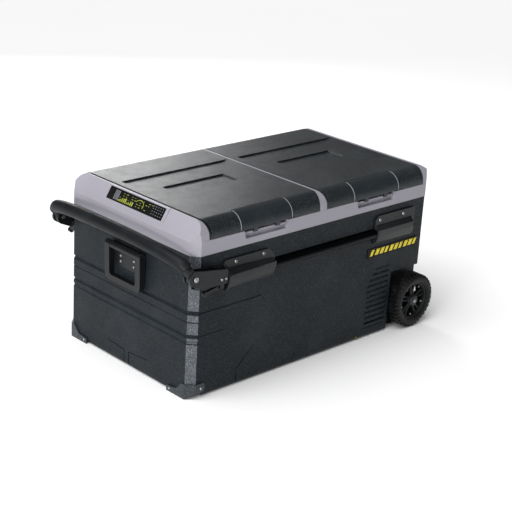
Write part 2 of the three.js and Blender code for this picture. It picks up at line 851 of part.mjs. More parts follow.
const guardBody = cornerGuard();
add("corner_guard_near", guardBody, MAT.black);
add("corner_guard_far", mirrored(guardBody), MAT.black);

function powerSocket() {
  const face = HALF_L - BODY_INSET;
  const plate = block(
    face - 12,
    face + 2,
    SOCKET.y - SOCKET.w + GAP,
    SOCKET.y + SOCKET.w - GAP,
    SOCKET.z - SOCKET.h + GAP,
    SOCKET.z + SOCKET.h - GAP,
  );
  const holes = [-11, 11].map((dy) =>
    block(face - 9, face + 5, SOCKET.y + dy - 8, SOCKET.y + dy + 8, SOCKET.z - 9, SOCKET.z + 9),
  );
  return cut(plate, ...holes);
}
add("power_socket", powerSocket(), MAT.black);

// ---- pull handle: guide tubes, brackets, sliding tubes, yokes, levers, bar and grip ----------------
const SLEEVE_CLEAR = 0.4;
const guideTube = (s) =>
  cut(
    rod("x", RAIL.outerR, RAIL_X[0], RAIL_X[1], [s * RAIL.y, RAIL.z], 20),
    rod("x", RAIL.boreR, RAIL_X[0] - 1, RAIL_X[1] + 1, [s * RAIL.y, RAIL.z], 20),
  );
const SLIDE_X = [-395, 300];
const slideTube = (s) =>
  cut(
    rod("x", RAIL.slideR, SLIDE_X[0], SLIDE_X[1], [s * RAIL.y, RAIL.z], 20),
    rod("x", RAIL.slideR - 1.8, SLIDE_X[0] - 1, SLIDE_X[1] + 1, [s * RAIL.y, RAIL.z], 12),
  );

const bracketRing = (x, bulge, top, foot) =>
  [
    [-HALF_W + 0.4, top],
    [-HALF_W - bulge * 0.45, top - 4],
    [-HALF_W - bulge * 0.82, top - 12],
    [-HALF_W - bulge, RAIL.z + 12],
    [-HALF_W - bulge * 0.96, RAIL.z - 2],
    [-HALF_W - bulge * 0.72, foot + 6],
    [-HALF_W - bulge * 0.5, foot],
    [-HALF_W + 0.4, foot],
  ].map(([y, z]) => [x, y, z]);

const bracketBore = (x0, x1) => rod("x", RAIL.outerR + GAP, x0, x1, [-RAIL.y, RAIL.z], 20);

function bracketFront() {
  const bulge = lofted([
    bracketRing(-325, 27.5, 327, 266),
    bracketRing(-318, 27.5, 327, 266),
    bracketRing(-314, 23.5, 319, 268),
    bracketRing(-240, 20.5, 318, 270),
    bracketRing(-172, 17, 316, 272),
    bracketRing(-163, 14.5, 313, 274),
  ]);
  const flange = prismY(
    [
      [-323, 266],
      [-160, 266],
      [-160, 316],
      [-181, 337],
      [-318, 337],
      [-323, 330],
    ],
    -HALF_W - 4.5,
    -HALF_W + 0.4,
  );
  return cut(join(bulge, flange), bracketBore(-330, -150));
}

function bracketRear() {
  const bulge = lofted([
    bracketRing(200, 14, 318, 270),
    bracketRing(207, 15.6, 320, 269),
    bracketRing(336, 15.6, 320, 269),
    bracketRing(349, 6, 316, 272),
  ]);
  const flange = prismY(
    [
      [197, 267],
      [350, 267],
      [350, 338],
      [346, 341],
      [208, 341],
      [197, 331],
    ],
    -HALF_W - 4.5,
    -HALF_W + 0.4,
  );
  return cut(join(bulge, flange), bracketBore(180, RAIL_X[1] + 0.5));
}

const YOKE = { outer: 265, cheek: 6.5, inner: 240.5, innerCheek: 5, r: 18, back: -328 };
const LEVER = { x: -345, z: 284.5, pinR: 2, knobX: -392, knobZ: 275.5, knobR: 6.5, y: [254, 261.5] };

function yoke() {
  const outline = convex([
    ...circle(PIVOT.x, PIVOT.z, YOKE.r, 28),
    [-404, 291],
    [YOKE.back - 4, 290],
    [YOKE.back, 294],
    [YOKE.back, 320],
    [YOKE.back - 5, 325],
    [-388, 329],
  ]);
  const outerCheek = prismY(outline, -YOKE.outer, -YOKE.outer + YOKE.cheek);
  const innerCheek = prismY(outline, -YOKE.inner - YOKE.innerCheek, -YOKE.inner);
  const core = block(-402, YOKE.back, -YOKE.outer + 1, -YOKE.inner, 292, 318);
  const boss = rod("x", 12.5, -402, -335, [-RAIL.y, RAIL.z], 24);
  const ear = prismY(
    [
      [LEVER.x - 5, LEVER.z - 5],
      [LEVER.x + 5, LEVER.z - 5],
      [LEVER.x + 7, 296],
      [LEVER.x - 7, 296],
    ],
    -YOKE.outer,
    -LEVER.y[1] - 0.5,
  );
  const pin = rod("y", LEVER.pinR, -YOKE.outer + 1, -LEVER.y[0] + 0.5, [LEVER.x, LEVER.z], 10);
  return cut(
    join(outerCheek, innerCheek, core, boss, ear, pin),
    rod("x", RAIL.slideR + 0.3, SLIDE_X[0] - 0.3, -300, [-RAIL.y, RAIL.z], 20),
    rod("y", 5.3, -YOKE.outer - 1, -YOKE.inner + 1, [PIVOT.x, PIVOT.z], 16),
  );
}

// Points of an outline that lie on its convex hull, in anticlockwise order.
function convex(points) {
  const sorted = [...points].sort((p, q) => p[0] - q[0] || p[1] - q[1]);
  const turn = (o, p, q) => (p[0] - o[0]) * (q[1] - o[1]) - (p[1] - o[1]) * (q[0] - o[0]);
  const half = (list) => {
    const chain = [];
    for (const p of list) {
      while (chain.length > 1 && turn(chain.at(-2), chain.at(-1), p) <= 0) chain.pop();
      chain.push(p);
    }
    return chain.slice(0, -1);
  };
  return [...half(sorted), ...half(sorted.reverse())];
}

function releaseLever() {
  const outline = convex([...circle(LEVER.knobX, LEVER.knobZ, 3.6, 12), ...circle(LEVER.x, LEVER.z, 4.4, 12)]);
  const link = prismY(outline, -LEVER.y[1], -LEVER.y[0]);
  const knob = rod("y", LEVER.knobR, -LEVER.y[1] - 1.5, -LEVER.y[0] + 0.5, [LEVER.knobX, LEVER.knobZ], 16);
  const bore = rod("y", LEVER.pinR + 0.4, -LEVER.y[1] - 1, -LEVER.y[0] + 1, [LEVER.x, LEVER.z], 10);
  return cut(join(link, knob), bore);
}

// The bar's centre line, from the near eye over to the far eye.
const BAR_PATH = [
  [-432, 252, 329],
  [-440, 250.5, 342],
  [-447, 241, 353],
  [-451.5, 217, 360],
  [-456, 154, 367.5],
];
const BAR_MIDDLE = [-459, 0, 372];
const barCurve = new THREE.CatmullRomCurve3(
  [
    ...BAR_PATH.map(([x, y, z]) => new THREE.Vector3(x, -y, z)),
    new THREE.Vector3(...BAR_MIDDLE),
    ...[...BAR_PATH].reverse().map((p) => new THREE.Vector3(...p)),
  ],
  false,
  "centripetal",
);
const BAR_R = 10.5;
const GRIP = { r: 16.5, bore: 11, half: 262, saddle: 20.5 };

function pullBar() {
  const core = swept(barCurve, BAR_R, 12, 44);
  const eye = (s) =>
    rod("y", 15, s < 0 ? -258 : 246, s < 0 ? -246 : 258, [PIVOT.x, PIVOT.z], 20);
  const room = (s) =>
    block(-500, -380, s < 0 ? -300 : 258, s < 0 ? -258 : 300, PIVOT.z - 40, PIVOT.z + 40);
  const side = (s) =>
    block(-450, -390, s < 0 ? -246 : 200, s < 0 ? -200 : 246, PIVOT.z - 40, PIVOT.z + 23);
  const bore = rod("y", 5.3, -300, 300, [PIVOT.x, PIVOT.z], 16);
  return cut(join(core, eye(-1), eye(1)), bore, room(-1), room(1), side(-1), side(1));
}

function gripSleeve() {
  const shaft = swept(barCurve, GRIP.r, 14, 44);
  const bore = swept(barCurve, GRIP.bore, 14, 44);
  const saddle = rod("y", GRIP.saddle, -300, 300, [PIVOT.x, PIVOT.z], 32);
  const span = block(-500, -429, -GRIP.half, GRIP.half, 325, 420);
  return cut(shaft, bore, saddle).intersect(span);
}

function pivotBolt() {
  const shank = rod("y", 5, -YOKE.outer - 0.3, -YOKE.inner - 0.5, [PIVOT.x, PIVOT.z], 16);
  const head = rod("y", 6.5, -YOKE.outer - 3.3, -YOKE.outer - 0.3, [PIVOT.x, PIVOT.z], 16);
  return join(shank, head);
}

const handlePieces = {
  tube_bracket_front: [bracketFront(), MAT.black],
  tube_bracket_rear: [bracketRear(), MAT.black],
  handle_yoke: [yoke(), MAT.black],
  release_lever: [releaseLever(), MAT.black],
  pivot_bolt: [pivotBolt(), MAT.black],
  guide_tube: [guideTube(-1), MAT.black],
  slide_tube: [slideTube(-1), MAT.steel],
};
for (const [name, [body, material]] of Object.entries(handlePieces)) {
  add(`${name}_near`, body, material);
  add(`${name}_far`, mirrored(body), material);
}
add("pull_bar", pullBar(), MAT.black);
add("grip_sleeve", gripSleeve(), MAT.grip);

// ---- carry bails at both ends --------------------------------------------------------------------
const BAIL_X = -HALF_L - BAIL.offset;
const BAIL_PIN = 5.5;

function bailPlate() {
  const back = -HALF_L + BODY_INSET - GAP;
  const plate = prismX(chamferedRect(-46, 46, 257, 322, 6), back - 3.5, back);
  const barrel = rod("y", 9, -49.4, 49.4, [BAIL_X, BAIL.z], 18);
  const web = block(BAIL_X, back - 1, -45, 45, BAIL.z - 7, BAIL.z + 7);
  const pin = rod("y", BAIL_PIN, -67, 67, [BAIL_X, BAIL.z], 16);
  return join(plate, barrel, web, pin);
}

function bail() {
  const low = BAIL.z - BAIL.drop;
  const inner = BAIL.halfW - BAIL.legY;
  const outline = roundedRect(-BAIL.halfW, BAIL.halfW, low, BAIL.z + 40, 13);
  const opening = roundedRect(-inner, inner, low + BAIL.barZ, BAIL.z + 60, 7);
  const half = BAIL.legX / 2;
  const hoop = prismX(outline, BAIL_X - 12, BAIL_X + 12).subtract(
    prismX(opening, BAIL_X - 30, BAIL_X + 30),
  );
  const profile = convex([
    ...circle(BAIL_X, BAIL.z, 9, 24),
    [BAIL_X - half, low - 1],
    [BAIL_X + half, low - 1],
  ]);
  const bore = rod("y", BAIL_PIN + 0.4, -70, 70, [BAIL_X, BAIL.z], 16);
  return cut(hoop.intersect(prismY(profile, -BAIL.halfW - 1, BAIL.halfW + 1)), bore);
}

const turnedAround = (body) => solid(geometryOf(body).rotateZ(Math.PI));
const [plateBody, bailBody] = [bailPlate(), bail()];
add("bail_plate_front", plateBody, MAT.black);
add("bail_plate_rear", turnedAround(plateBody), MAT.black);
add("bail_front", bailBody, MAT.black);
add("bail_rear", turnedAround(bailBody), MAT.black);

// ---- wheels ---------------------------------------------------------------------------------------
const RIM = { r: 50, bore: AXLE_R + 0.45, hubR: 17, web: [244, 251], windowR: [20, 41] };

function tyre() {
  const { r, inner, outer } = WHEEL;
  const profile = [
    [RIM.r + GAP, inner + 4],
    [60, inner],
    [70, inner + 3],
    [r, inner + 11],
    [r, outer - 11],
    [70, outer - 3],
    [60, outer],
    [RIM.r + GAP, outer - 4],
    [RIM.r + GAP, inner + 4],
  ];
  return turned(profile, "y", [WHEEL.x, WHEEL.z], 40);
}

function rim() {
  const profile = [
    [RIM.bore, 226],
    [RIM.hubR, 226],
    [RIM.hubR, RIM.web[0]],
    [43, RIM.web[0]],
    [46, 229],
    [RIM.r, 229],
    [RIM.r, 263],
    [46, 263],
    [43, RIM.web[1]],
    [RIM.hubR, RIM.web[1]],
    [RIM.hubR, 261],
    [RIM.bore, 261],
    [RIM.bore, 226],
  ];
  const whole = turned(profile, "y", [WHEEL.x, WHEEL.z], 40);
  const half = 0.42;
  const windows = Array.from({ length: 5 }, (_, i) => {
    const a = ((i + 0.25) * 2 * Math.PI) / 5;
    const at = (r, da) => [WHEEL.x + r * Math.cos(a + da), WHEEL.z + r * Math.sin(a + da)];
    return prismY(
      [at(22, -half * 0.6), at(40, -half), at(42, 0), at(40, half), at(22, half * 0.6)],
      240,
      255,
    );
  });
  return cut(whole, ...windows);
}

const hubCap = turned(
  [
    [0, 261.4],
    [15, 261.4],
    [15, 264],
    [12, 266.5],
    [0, 267.5],
  ],
  "y",
  [WHEEL.x, WHEEL.z],
  24,
);
const wheelPieces = {
  tyre: [tyre(), MAT.rubber],
  rim: [rim(), MAT.black],
  hub_cap: [hubCap, MAT.black],
};
for (const [name, [body, material]] of Object.entries(wheelPieces)) {
  add(`${name}_far`, body, material);
  add(`${name}_near`, mirrored(body), material);
}
add("wheel_axle", rod("y", AXLE_R, -261, 261, [WHEEL.x, WHEEL.z], 20), MAT.steel);

// ---- machinery in the bay under the shallow tub ---------------------------------------------------
const FAN = { x: 262, z: 90, y: -128, r: 52, pinR: 3 };

const compressorBody = join(
  turned(
    [
      [0, 22],
      [44, 22],
      [53, 34],
      [55, 70],
      [53, 76],
      [53, 118],
      [44, 138],
      [0, 146],
    ],
    "z",
    [246, 80],
    28,
  ),
  block(196, 296, 30, 130, 20, 24),
  ...[
    [203, 37],
    [289, 37],
    [203, 123],
    [289, 123],
  ].map(([x, y]) => rod("z", 6, 12, 21, [x, y], 10)),
);
add("compressor", compressorBody, MAT.castIron);

function condenser() {
  const [x0, x1, y0, y1, z0, z1] = [202, 330, -196, -160, 14, 150];
  const core = block(x0, x1, y0, y1, z0, z1);
  const fins = Array.from({ length: 12 }, (_, i) => {
    const x = x0 + 8 + i * 9.6;
    return block(x, x + 5.5, y0 - 1, y0 + 28, z0 - 1, z1 + 1);
  });
  return cut(core, ...fins);
}
add("condenser", condenser(), MAT.aluminium);

function fanFrame() {
  const half = 60;
  const box = block(FAN.x - half, FAN.x + half, FAN.y - 13, FAN.y + 13, 20, FAN.z + half);
  const duct = rod("y", FAN.r + 3, FAN.y - 20, FAN.y + 20, [FAN.x, FAN.z], 28);
  const arms = join(
    block(FAN.x - 57, FAN.x + 57, FAN.y + 9, FAN.y + 13, FAN.z - 4, FAN.z + 4),
    block(FAN.x - 4, FAN.x + 4, FAN.y + 9, FAN.y + 13, FAN.z - 57, FAN.z + 57),
    rod("y", 15, FAN.y + 9, FAN.y + 13, [FAN.x, FAN.z], 16),
    rod("y", FAN.pinR, FAN.y - 9, FAN.y + 12, [FAN.x, FAN.z], 12),
  );
  return join(cut(box, duct), arms);
}
add("fan_frame", fanFrame(), MAT.black);

function fanRotor() {
  const hub = rod("y", 16, FAN.y - 11, FAN.y + 8, [FAN.x, FAN.z], 20);
  const blades = Array.from({ length: 7 }, (_, i) => {
    const blade = new THREE.BoxGeometry(FAN.r - 12, 2.2, 22)
      .translate(FAN.r / 2 + 4, 0, 0)
      .rotateX(0.6)
      .rotateY((i * 2 * Math.PI) / 7)
      .translate(FAN.x, FAN.y - 1, FAN.z);
    return solid(blade);
  });
  const bore = rod("y", FAN.pinR + 0.4, FAN.y - 9.5, FAN.y + 20, [FAN.x, FAN.z], 12);
  return cut(join(hub, ...blades), bore);
}
add("fan_rotor", fanRotor(), MAT.black);

add(
  "power_board",
  join(
    block(386, 388, -60, 60, 90, 168),
    block(374, 386.5, -50, -14, 100, 140),
    rod("x", 8, 372, 386.5, [10, 120], 12),
    block(376, 386.5, 26, 52, 96, 156),
  ),
  MAT.board,
);

export default fridge;
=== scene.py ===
"""Looks for a two-zone compressor cooler fridge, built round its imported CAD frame. Metres, +Z up."""

import json
import math
import random

import bmesh
import bpy
from mathutils import Matrix, Vector

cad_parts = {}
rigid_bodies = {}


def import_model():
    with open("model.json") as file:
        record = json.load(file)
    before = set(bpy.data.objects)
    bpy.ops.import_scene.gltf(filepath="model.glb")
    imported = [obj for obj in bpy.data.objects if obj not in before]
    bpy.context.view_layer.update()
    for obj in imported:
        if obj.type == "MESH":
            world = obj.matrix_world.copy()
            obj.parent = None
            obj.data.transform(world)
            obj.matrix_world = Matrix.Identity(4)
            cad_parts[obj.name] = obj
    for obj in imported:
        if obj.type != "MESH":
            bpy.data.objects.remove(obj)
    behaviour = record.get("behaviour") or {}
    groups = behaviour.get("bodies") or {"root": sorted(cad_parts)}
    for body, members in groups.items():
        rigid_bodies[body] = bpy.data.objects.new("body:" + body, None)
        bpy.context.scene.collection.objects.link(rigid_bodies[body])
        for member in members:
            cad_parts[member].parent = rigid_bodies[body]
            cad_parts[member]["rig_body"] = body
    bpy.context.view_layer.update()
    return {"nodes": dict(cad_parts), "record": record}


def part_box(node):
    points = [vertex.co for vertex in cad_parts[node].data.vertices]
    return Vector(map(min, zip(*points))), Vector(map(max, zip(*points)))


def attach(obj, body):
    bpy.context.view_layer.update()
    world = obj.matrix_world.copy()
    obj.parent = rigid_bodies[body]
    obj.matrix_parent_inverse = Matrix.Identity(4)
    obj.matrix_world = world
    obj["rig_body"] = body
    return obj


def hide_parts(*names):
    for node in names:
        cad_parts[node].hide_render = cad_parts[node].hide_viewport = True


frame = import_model()

MM = 0.001
SLOT_OF = {part["node"]: part["material_slot"] for part in frame["record"]["subparts"]}
SIDES = {"near": -1, "far": 1}

# ---- camera ---------------------------------------------------------------------------------------
CAMERA_PLACE = (-2.2484, -2.3152, 1.4354)
CAMERA_AZIMUTH, CAMERA_ELEVATION, CAMERA_ROLL = -44.361, 20.943, 3.485
CAMERA_LENS = 92.82


def make_camera():
    a, e, r = (math.radians(v) for v in (CAMERA_AZIMUTH, CAMERA_ELEVATION, CAMERA_ROLL))
    back = Vector((math.sin(a) * math.cos(e), -math.cos(a) * math.cos(e), math.sin(e)))
    level = Vector((0, 0, 1)).cross(back).normalized()
    upright = back.cross(level)
    right = math.cos(r) * level + math.sin(r) * upright
    up = -math.sin(r) * level + math.cos(r) * upright
    data = bpy.data.cameras.new("camera")
    data.lens = CAMERA_LENS
    data.sensor_width = 36
    camera = bpy.data.objects.new("camera", data)
    bpy.context.scene.collection.objects.link(camera)
    turn = Matrix((right, up, back)).transposed().to_4x4()
    camera.matrix_world = Matrix.Translation(CAMERA_PLACE) @ turn
    bpy.context.scene.camera = camera


make_camera()


# ---- procedural materials -------------------------------------------------------------------------
def rgb(red, green, blue):
    """An sRGB colour as linear values."""

    def linear(value):
        value /= 255
        return value / 12.92 if value <= 0.04045 else ((value + 0.055) / 1.055) ** 2.4

    return (linear(red), linear(green), linear(blue), 1.0)


class Nodes:
    """A short way to write a material's node tree."""

    def __init__(self, name):
        self.material = bpy.data.materials.new(name)
        self.material.use_nodes = True
        self.tree = self.material.node_tree
        self.tree.nodes.clear()
        self.output = self.make("ShaderNodeOutputMaterial")
        self.shader = self.make("ShaderNodeBsdfPrincipled")
        self.join(self.shader.outputs[0], self.output.inputs["Surface"])
        self.object = self.make("ShaderNodeTexCoord").outputs["Object"]

    def make(self, kind, **settings):
        node = self.tree.nodes.new(kind)
        for key, value in settings.items():
            setattr(node, key, value)
        return node

    def join(self, source, target):
        self.tree.links.new(source, target)

    def stretched(self, scale):
        mapping = self.make("ShaderNodeMapping")
        mapping.inputs["Scale"].default_value = scale
        self.join(self.object, mapping.inputs["Vector"])
        return mapping.outputs[0]

    def noise(self, scale, detail=2.0, vector=None, roughness=0.5):
        node = self.make("ShaderNodeTexNoise")
        node.inputs["Scale"].default_value = scale
        node.inputs["Detail"].default_value = detail
        node.inputs["Roughness"].default_value = roughness
        self.join(vector or self.object, node.inputs["Vector"])
        return node.outputs["Fac"]

    def pebbles(self, scale):
        node = self.make("ShaderNodeTexVoronoi", feature="SMOOTH_F1")
        node.inputs["Scale"].default_value = scale
        node.inputs["Smoothness"].default_value = 0.6
        self.join(self.object, node.inputs["Vector"])
        return node.outputs["Distance"]

    def ranged(self, value, low, high, to_low, to_high):
        node = self.make("ShaderNodeMapRange")
        for key, number in (
            ("From Min", low),
            ("From Max", high),
            ("To Min", to_low),
            ("To Max", to_high),
        ):
            node.inputs[key].default_value = number
        self.join(value, node.inputs["Value"])
        return node.outputs[0]

    def mixed(self, factor, first, second):
        node = self.make("ShaderNodeMix", data_type="RGBA")
        self.join(factor, node.inputs["Factor"])
        for key, colour in (("A", first), ("B", second)):
            socket = [s for s in node.inputs if s.name == key and s.type == "RGBA"][0]
            if isinstance(colour, tuple):
                socket.default_value = colour
            else:
                self.join(colour, socket)
        return [s for s in node.outputs if s.type == "RGBA"][0]

    def bump(self, height, strength, distance, under=None):
        node = self.make("ShaderNodeBump")
        node.inputs["Strength"].default_value = strength
        node.inputs["Distance"].default_value = distance
        self.join(height, node.inputs["Height"])
        if under:
            self.join(under, node.inputs["Normal"])
        return node.outputs[0]

    def finish(self, colour, roughness, normal=None, metallic=0.0, specular=0.5):
        for key, value in (("Base Color", colour), ("Roughness", roughness)):
            if isinstance(value, (tuple, int, float)):
                self.shader.inputs[key].default_value = value
            else:
                self.join(value, self.shader.inputs[key])
        if normal:
            self.join(normal, self.shader.inputs["Normal"])
        self.shader.inputs["Metallic"].default_value = metallic
        self.shader.inputs["Specular IOR Level"].default_value = specular
        return self.material


def moulded(name, dark, light, worn, roughness, grain, depth, speckle=0.0, specular=0.5, rub=0.0):
    """Moulded plastic: pebble grain, fine specks, slight dust and, with rub, wear to its pale tone."""
    n = Nodes(name)
    fine = n.noise(grain, 2)
    tone = n.mixed(n.ranged(fine, 0.38, 0.62, 0, 1), dark, light)
    specks = n.ranged(n.noise(grain * 0.8, 1), 0.58, 0.7, 0, speckle)
    tone = n.mixed(specks, tone, worn)
    dust = n.ranged(n.noise(7, 4), 0.5, 0.8, 0, 0.1)
    tone = n.mixed(dust, tone, worn)
    if rub:
        tone = n.mixed(n.ranged(n.noise(60, 3), 0.35, 0.6, 0, rub), tone, worn)
    shine = n.ranged(n.noise(35, 5), 0.3, 0.7, roughness - 0.04, roughness + 0.04)
    normal = n.bump(n.pebbles(grain), depth, 0.0006)
    return n.finish(tone, shine, normal, specular=specular)


def metal(name, colour, roughness, brushing=(40, 900, 900), tint=0.12):
    """Plated or anodised metal with fine draw lines."""
    n = Nodes(name)
    lines = n.noise(1.0, 4, n.stretched(brushing))
    darker = tuple(c * (1 - tint * 3) for c in colour[:3]) + (1.0,)
    tone = n.mixed(n.ranged(lines, 0.3, 0.7, 0, 1), darker, colour)
    shine = n.ranged(lines, 0.3, 0.7, roughness - 0.06, roughness + 0.1)
    return n.finish(tone, shine, n.bump(lines, 0.15, 0.0002), metallic=1.0)


def glass_panel(name, colour):
    n = Nodes(name)
    # Paler, faintly green patches at random over the dark window, glossier in places.
    window_mottle = n.noise(22, 4)
    tone = n.mixed(n.ranged(window_mottle, 0.4, 0.7, 0, 0.5), colour, rgb(24, 26, 24))
    return n.finish(tone, n.ranged(window_mottle, 0.3, 0.7, 0.05, 0.16))


def rubbery(name, dark, light, roughness, grain, specular=0.35):
    n = Nodes(name)
    dust = n.ranged(n.noise(30, 5), 0.45, 0.7, 0, 1)
    tone = n.mixed(dust, dark, light)
    normal = n.bump(n.noise(grain, 3), 0.4, 0.0004)
    shine = n.ranged(dust, 0, 1, roughness, roughness + 0.12)
    return n.finish(tone, shine, normal, specular=specular)


def foamed(name, colour):
    n = Nodes(name)
    tone = n.mixed(n.noise(60, 4), colour, rgb(190, 170, 110))
    return n.finish(tone, 0.95, n.bump(n.pebbles(300), 0.6, 0.001))


def plain_print(name, colour, roughness, glow=0.0):
    n = Nodes(name)
    patchy = n.ranged(n.noise(120, 3), 0.3, 0.7, 0, 1)
    dimmer = tuple(c * 0.7 for c in colour[:3]) + (1.0,)
    tone = n.mixed(patchy, dimmer, colour)
    if glow:
        n.join(tone, n.shader.inputs["Emission Color"])
        n.shader.inputs["Emission Strength"].default_value = glow
    return n.finish(tone, roughness)


def circuit(name):
    n = Nodes(name)
    tracks = n.ranged(n.noise(1, 1, n.stretched((500, 90, 700))), 0.48, 0.52, 0, 1)
    tone = n.mixed(tracks, rgb(18, 62, 36), rgb(48, 118, 66))
    return n.finish(tone, 0.4, n.bump(tracks, 0.3, 0.0003))


PLASTICS = {
    "body": {
        "dark": rgb(12, 18, 22),
        "light": rgb(21, 28, 33),
        "worn": rgb(82, 88, 94),
        "roughness": 0.46,
        "grain": 520,
        "depth": 0.8,
        "speckle": 0.3,
        "specular": 0.16,
    },
    "bezel": {
        "dark": rgb(140, 138, 147),
        "light": rgb(153, 150, 160),
        "worn": rgb(204, 202, 212),
        "roughness": 0.42,
        "grain": 900,
        "depth": 0.2,
        "speckle": 0.1,
    },
    "lid": {
        "dark": rgb(12, 17, 21),
        "light": rgb(25, 32, 37),
        "worn": rgb(120, 126, 128),
        "roughness": 0.36,
        "grain": 460,
        "depth": 0.9,
        "speckle": 0.3,
        "specular": 0.42,
    },
    "liner": {
        "dark": rgb(212, 215, 218),
        "light": rgb(228, 231, 233),
        "worn": rgb(240, 240, 240),
        "roughness": 0.4,
        "grain": 500,
        "depth": 0.15,
    },
    "hardware": {
        "dark": rgb(8, 10, 12),
        "light": rgb(14, 17, 19),
        "worn": rgb(84, 88, 92),
        "roughness": 0.34,
        "grain": 800,
        "depth": 0.35,
        "speckle": 0.12,
        "specular": 0.3,
    },
}
LOOKS = {slot: moulded(f"{slot}_plastic", **kind) for slot, kind in PLASTICS.items()}
LOOKS |= {
    "gasket": rubbery("gasket_rubber", rgb(24, 24, 26), rgb(48, 48, 50), 0.6, 800),
    "grip": rubbery("grip_rubber", rgb(13, 16, 19), rgb(22, 25, 28), 0.45, 900, 0.18),
    "tyre": rubbery("tyre_rubber", rgb(7, 7, 8), rgb(26, 26, 28), 0.46, 500, 0.22),
    "foam": foamed("insulation", rgb(216, 201, 142)),
    "display": glass_panel("display_glass", rgb(8, 9, 10)),
    "board": circuit("circuit_board"),
    "tube": metal("black_tube", rgb(17, 19, 22), 0.3, (900, 40, 900)),
    "steel": metal("zinc_steel", rgb(186, 188, 190), 0.3),
    "compressor": rubbery("black_casting", rgb(16, 17, 20), rgb(44, 46, 50), 0.4, 400),
    "fins": metal("bare_fins", rgb(168, 171, 173), 0.35),
    "badge": rubbery("badge_black", rgb(6, 6, 7), rgb(11, 11, 12), 0.45, 900, 0.15),
}
# Paler, coarser-speckled plastic for the shell's upright chamfers: a painted highlight for the light those
# corners catch.
CORNER_HIGHLIGHT = moulded(
    "corner_painted_highlight", rgb(44, 49, 54), rgb(78, 83, 89), rgb(150, 154, 160), 0.4, 420, 0.8, 0.55, 0.5
)
FLAP_PLASTIC = moulded(
    "flap_plastic", rgb(22, 28, 32), rgb(32, 39, 44), rgb(100, 106, 110), 0.36, 500, 0.35, 0.2, 0.4
)
GUARD_PLASTIC = moulded(
    "guard_plastic", rgb(26, 31, 35), rgb(46, 52, 57), rgb(120, 126, 132), 0.42, 500, 0.6, 0.4, 0.35
)
# Near-black finish for the lids' rounded edges and the console strip: painted shade for the dark gaps round
# the lids.
LID_GAP_SHADE = rubbery("lid_gap_painted_shade", rgb(5, 7, 8), rgb(12, 14, 16), 0.6, 800, 0.1)

# The look of a slot's rounded edges, where it differs from its faces.
WEAR = {"body": 0.5, "bezel": 0.6, "hardware": 0.55}
EDGES = {
    slot: moulded(f"{slot}_worn_edge", **PLASTICS[slot], rub=rub) for slot, rub in WEAR.items()
}
# The lids' rounded edges take the near-black finish: painted shade for the gaps between the lids and the
# console.
EDGES["lid"] = LID_GAP_SHADE

# Nodes with a look of their own within their slot, by the start of the node's name.
OWN_LOOKS = {
    "corner_guard": GUARD_PLASTIC,
    "latch_left": FLAP_PLASTIC,
    "latch_right": FLAP_PLASTIC,
}
BRASS = metal("brass_screw", rgb(200, 150, 60), 0.3)
YELLOW = plain_print("yellow_bars", rgb(238, 218, 24), 0.4)
SCREEN_MARKS = plain_print("screen_marks", rgb(150, 158, 60), 0.3, 0.25)
SCREEN_GREY = plain_print("screen_grey", rgb(120, 122, 128), 0.4)
# Pale strips on the latch flaps' seat ends: a painted highlight for the light those edges catch.
FLAP_LIP_HIGHLIGHT = plain_print("flap_lip_painted_highlight", rgb(150, 154, 158), 0.4)


# ---- mesh helpers ---------------------------------------------------------------------------------
def shade(piece, angle=32):
    piece.data.shade_smooth()
    piece.data.set_sharp_from_angle(angle=math.radians(angle))


def place(piece, body, material):
    piece.data.materials.clear()
    piece.data.materials.append(material)
    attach(piece, body)
    return piece


def mesh_object(name, bm):
    bmesh.ops.recalc_face_normals(bm, faces=bm.faces)
    mesh = bpy.data.meshes.new(name)
    bm.to_mesh(mesh)
    bm.free()
    piece = bpy.data.objects.new(name, mesh)
    bpy.context.scene.collection.objects.link(piece)
    return piece


def soften(piece, width, segments=2, angle=30, edge=None):
    """Rounded edges; with edge, they take that material."""
    if width:
        bevel = piece.modifiers.new("soft_edges", "BEVEL")
        bevel.width = width * MM
        bevel.segments = segments
        bevel.limit_method = "ANGLE"
        bevel.angle_limit = math.radians(angle)
        bevel.use_clamp_overlap = True
        bevel.miter_outer = "MITER_ARC"
        if edge:
            piece.data.materials.append(edge)
            bevel.material = 1
    shade(piece)
    normals = piece.modifiers.new("even_normals", "WEIGHTED_NORMAL")
    normals.keep_sharp = True


MERGE_DISTANCE = 0.02
FLAT_ANGLE = math.radians(0.4)


def refined(node, width, segments):
    """The CAD node's own shape, with merged faces and softened edges; width 0 keeps its edges crisp."""
    source = frame["nodes"][node]
    bm = bmesh.new()
    bm.from_mesh(source.data)
    bmesh.ops.remove_doubles(bm, verts=bm.verts, dist=MERGE_DISTANCE * MM)
    if width:
        bmesh.ops.dissolve_limit(bm, angle_limit=FLAT_ANGLE, verts=bm.verts, edges=bm.edges)
    piece = mesh_object(f"{node}_look", bm)
    slot = SLOT_OF[node]
    own = [look for start, look in OWN_LOOKS.items() if node.startswith(start)]
    place(piece, source["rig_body"], (own or [LOOKS[slot]])[0])
    soften(piece, width, segments, edge=EDGES.get(slot))
    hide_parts(node)
    return piece


STRIP_TILT, STRIP_LEVEL, STRIP_AREA = 0.6, 0.2, 1e-4


def paint_corner_highlights(shell):
    """The shell's upright chamfers, which face between two sides, take a paler, coarser-speckled plastic: a
    painted highlight for the light those corners catch.
    """
    shell.data.materials.append(CORNER_HIGHLIGHT)
    highlight_index = len(shell.data.materials) - 1
    for face in shell.data.polygons:
        across = min(abs(face.normal.x), abs(face.normal.y))
        upright = abs(face.normal.z) < STRIP_LEVEL
        if across > STRIP_TILT and upright and face.area > STRIP_AREA:
            face.material_index = highlight_index


